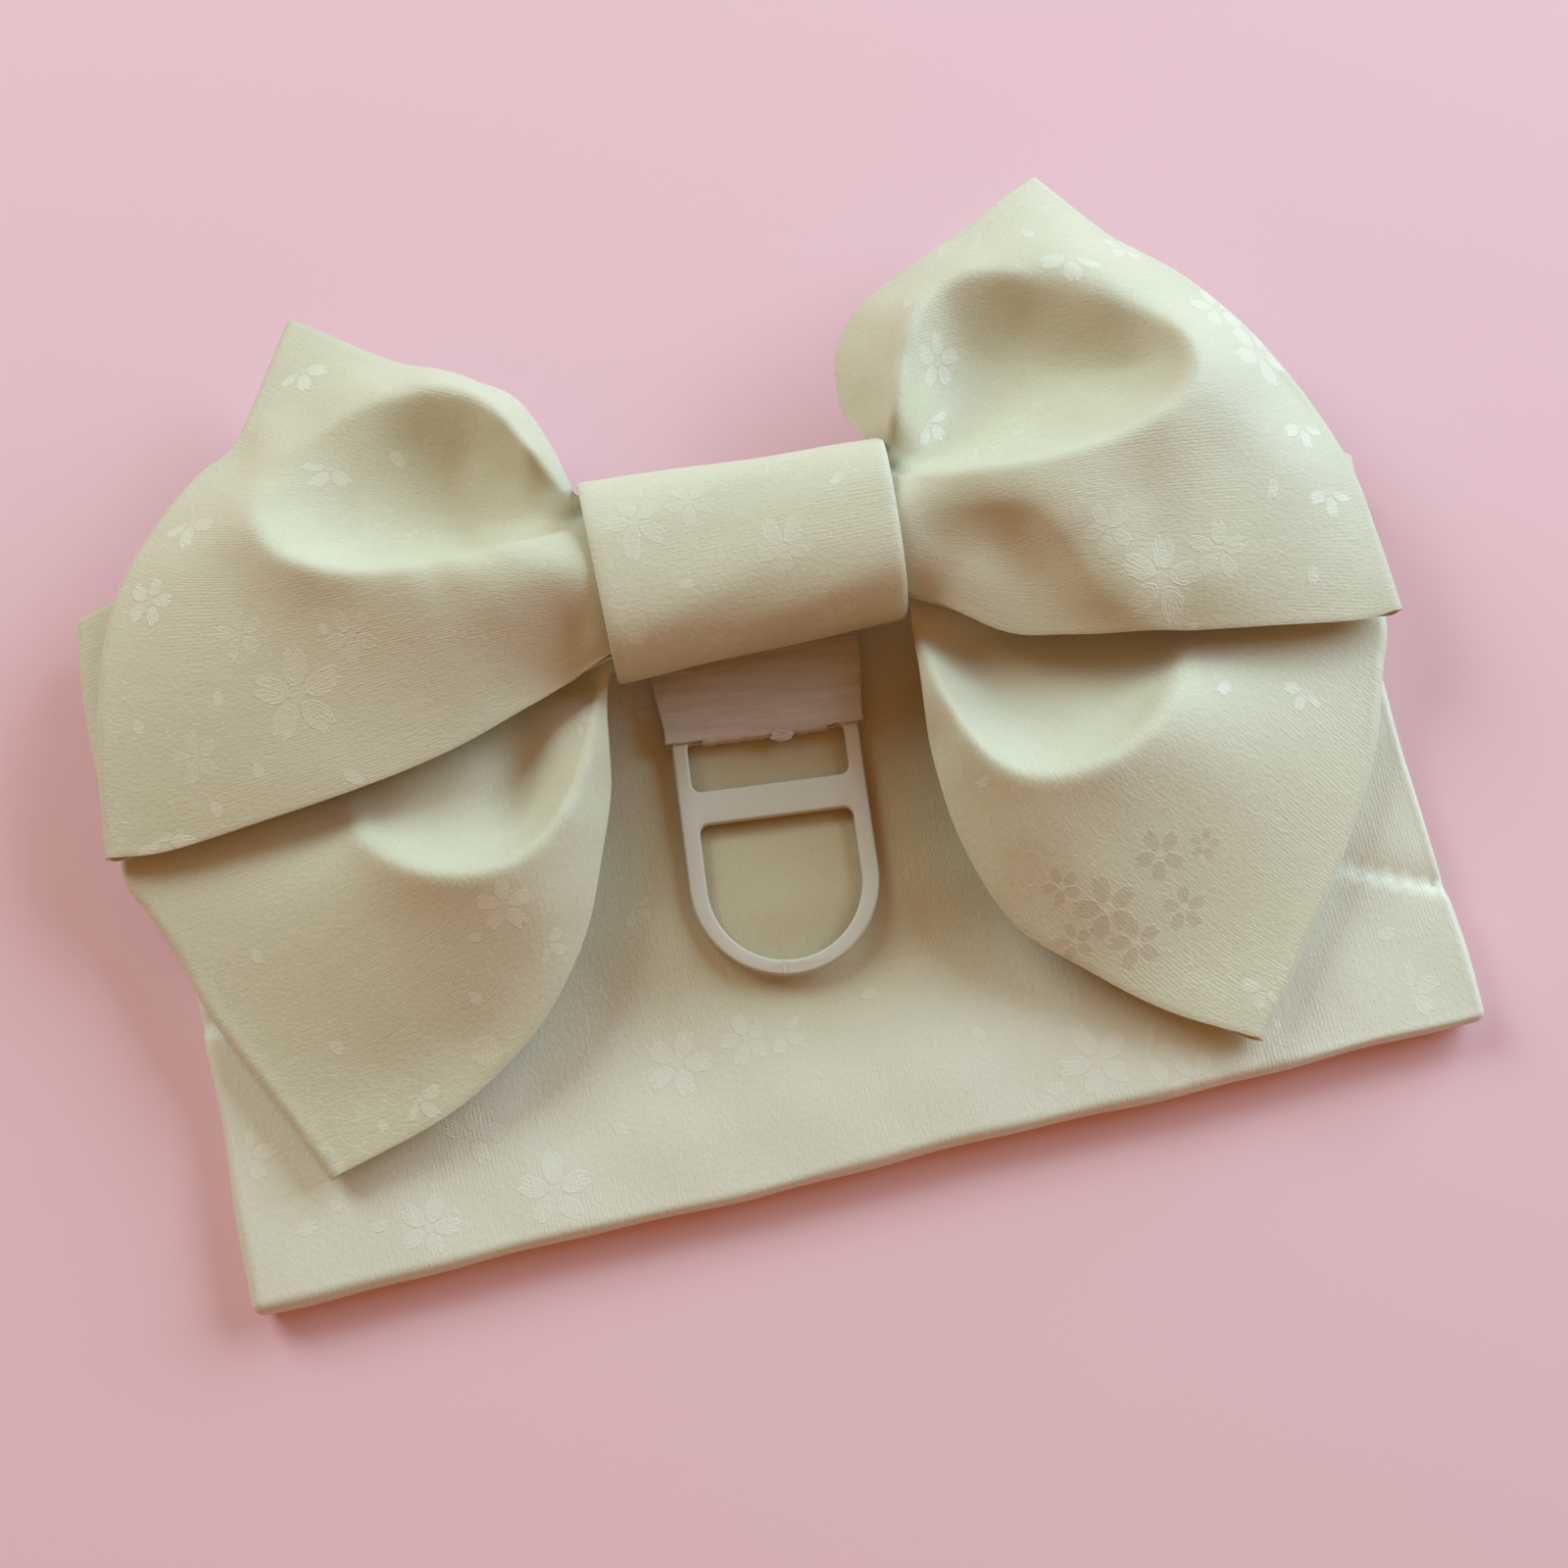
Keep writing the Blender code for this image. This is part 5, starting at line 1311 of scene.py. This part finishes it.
def studio():
    """Pale pink floor, cool light low from the right and from the upper left, and warm light all round."""
    bm = bmesh.new()
    bmesh.ops.create_grid(bm, x_segments=1, y_segments=1, size=FLOOR_HALF)
    m = MaterialMaker("pale_floor")
    finished("floor", bm, m.finish(Base_Color=FLOOR_COLOUR, Roughness=0.95,
                                            Specular_IOR_Level=0.1))
    lamp("window", WINDOW_PLACE, WINDOW_SIZE, WINDOW_POWER, WINDOW_COLOUR)
    lamp("side", SIDE_PLACE, SIDE_SIZE, SIDE_POWER, SIDE_COLOUR)
    world = bpy.data.worlds.new("room")
    world.use_nodes = True
    room = world.node_tree.nodes["Background"]
    room.inputs["Color"].default_value = (*ROOM_COLOUR, 1)
    room.inputs["Strength"].default_value = ROOM_STRENGTH
    bpy.context.scene.world = world
    bpy.context.scene.view_settings.view_transform = 'Standard'


def camera():
    """The photo's view, from a little left of the front and high above."""
    data = bpy.data.cameras.new("camera")
    data.lens = CAMERA_LENS
    data.sensor_width = CAMERA_SENSOR
    obj = bpy.data.objects.new("camera", data)
    away = Vector((math.sin(CAMERA_TURN) * math.cos(CAMERA_LIFT),
                   -math.cos(CAMERA_TURN) * math.cos(CAMERA_LIFT), math.sin(CAMERA_LIFT)))
    target = Vector(CAMERA_TARGET) * MM + PLAN_SHIFT
    obj.location = target + away * CAMERA_DISTANCE * MM
    obj.rotation_euler = (-away).to_track_quat('-Z', 'Y').to_euler()
    bpy.context.collection.objects.link(obj)
    bpy.context.scene.camera = obj


def stand_for(obj, node):
    """Puts a finished piece in a CAD node's place."""
    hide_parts(node)
    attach(obj, "root")


def build():
    """All pieces, the lowest loops of the bow first, then the light and the camera."""
    brocade = jacquard("cream_jacquard")
    belt_tree = tree_of(np.array([[(x, y, BELT_HEIGHT) for y in FLAT_TOP_Y] for x in FLAT_TOP_X]))
    lower_left, left_tree = make_wing(LOWER_LEFT, [belt_tree], brocade)
    lower_right, right_tree = make_wing(LOWER_RIGHT, [belt_tree], brocade)
    upper_left, _ = make_wing(UPPER_LEFT, [belt_tree, left_tree], brocade)
    upper_right, _ = make_wing(UPPER_RIGHT, [belt_tree, right_tree], brocade)
    for wing, node, under in ((lower_left, "lower_left_wing", "folded_band"),
                              (lower_right, "lower_right_wing", "folded_band"),
                              (upper_left, "upper_left_wing", "lower_left_loop"),
                              (upper_right, "upper_right_wing", "lower_right_loop")):
        stand_for(wing, node)
    # The band's own material carries painted shade below the bow and painted light towards its ends
    belt = make_belt(jacquard("cream_jacquard_of_band", band=True))
    stand_for(belt, "belt")
    knot = make_knot(brocade)
    stand_for(knot, "knot_band")
    stand_for(make_hook(moulded_plastic()), "hook")
    tape = make_tape(woven_webbing())
    stand_for(tape, "hook_tape")
    studio()
    camera()


build()
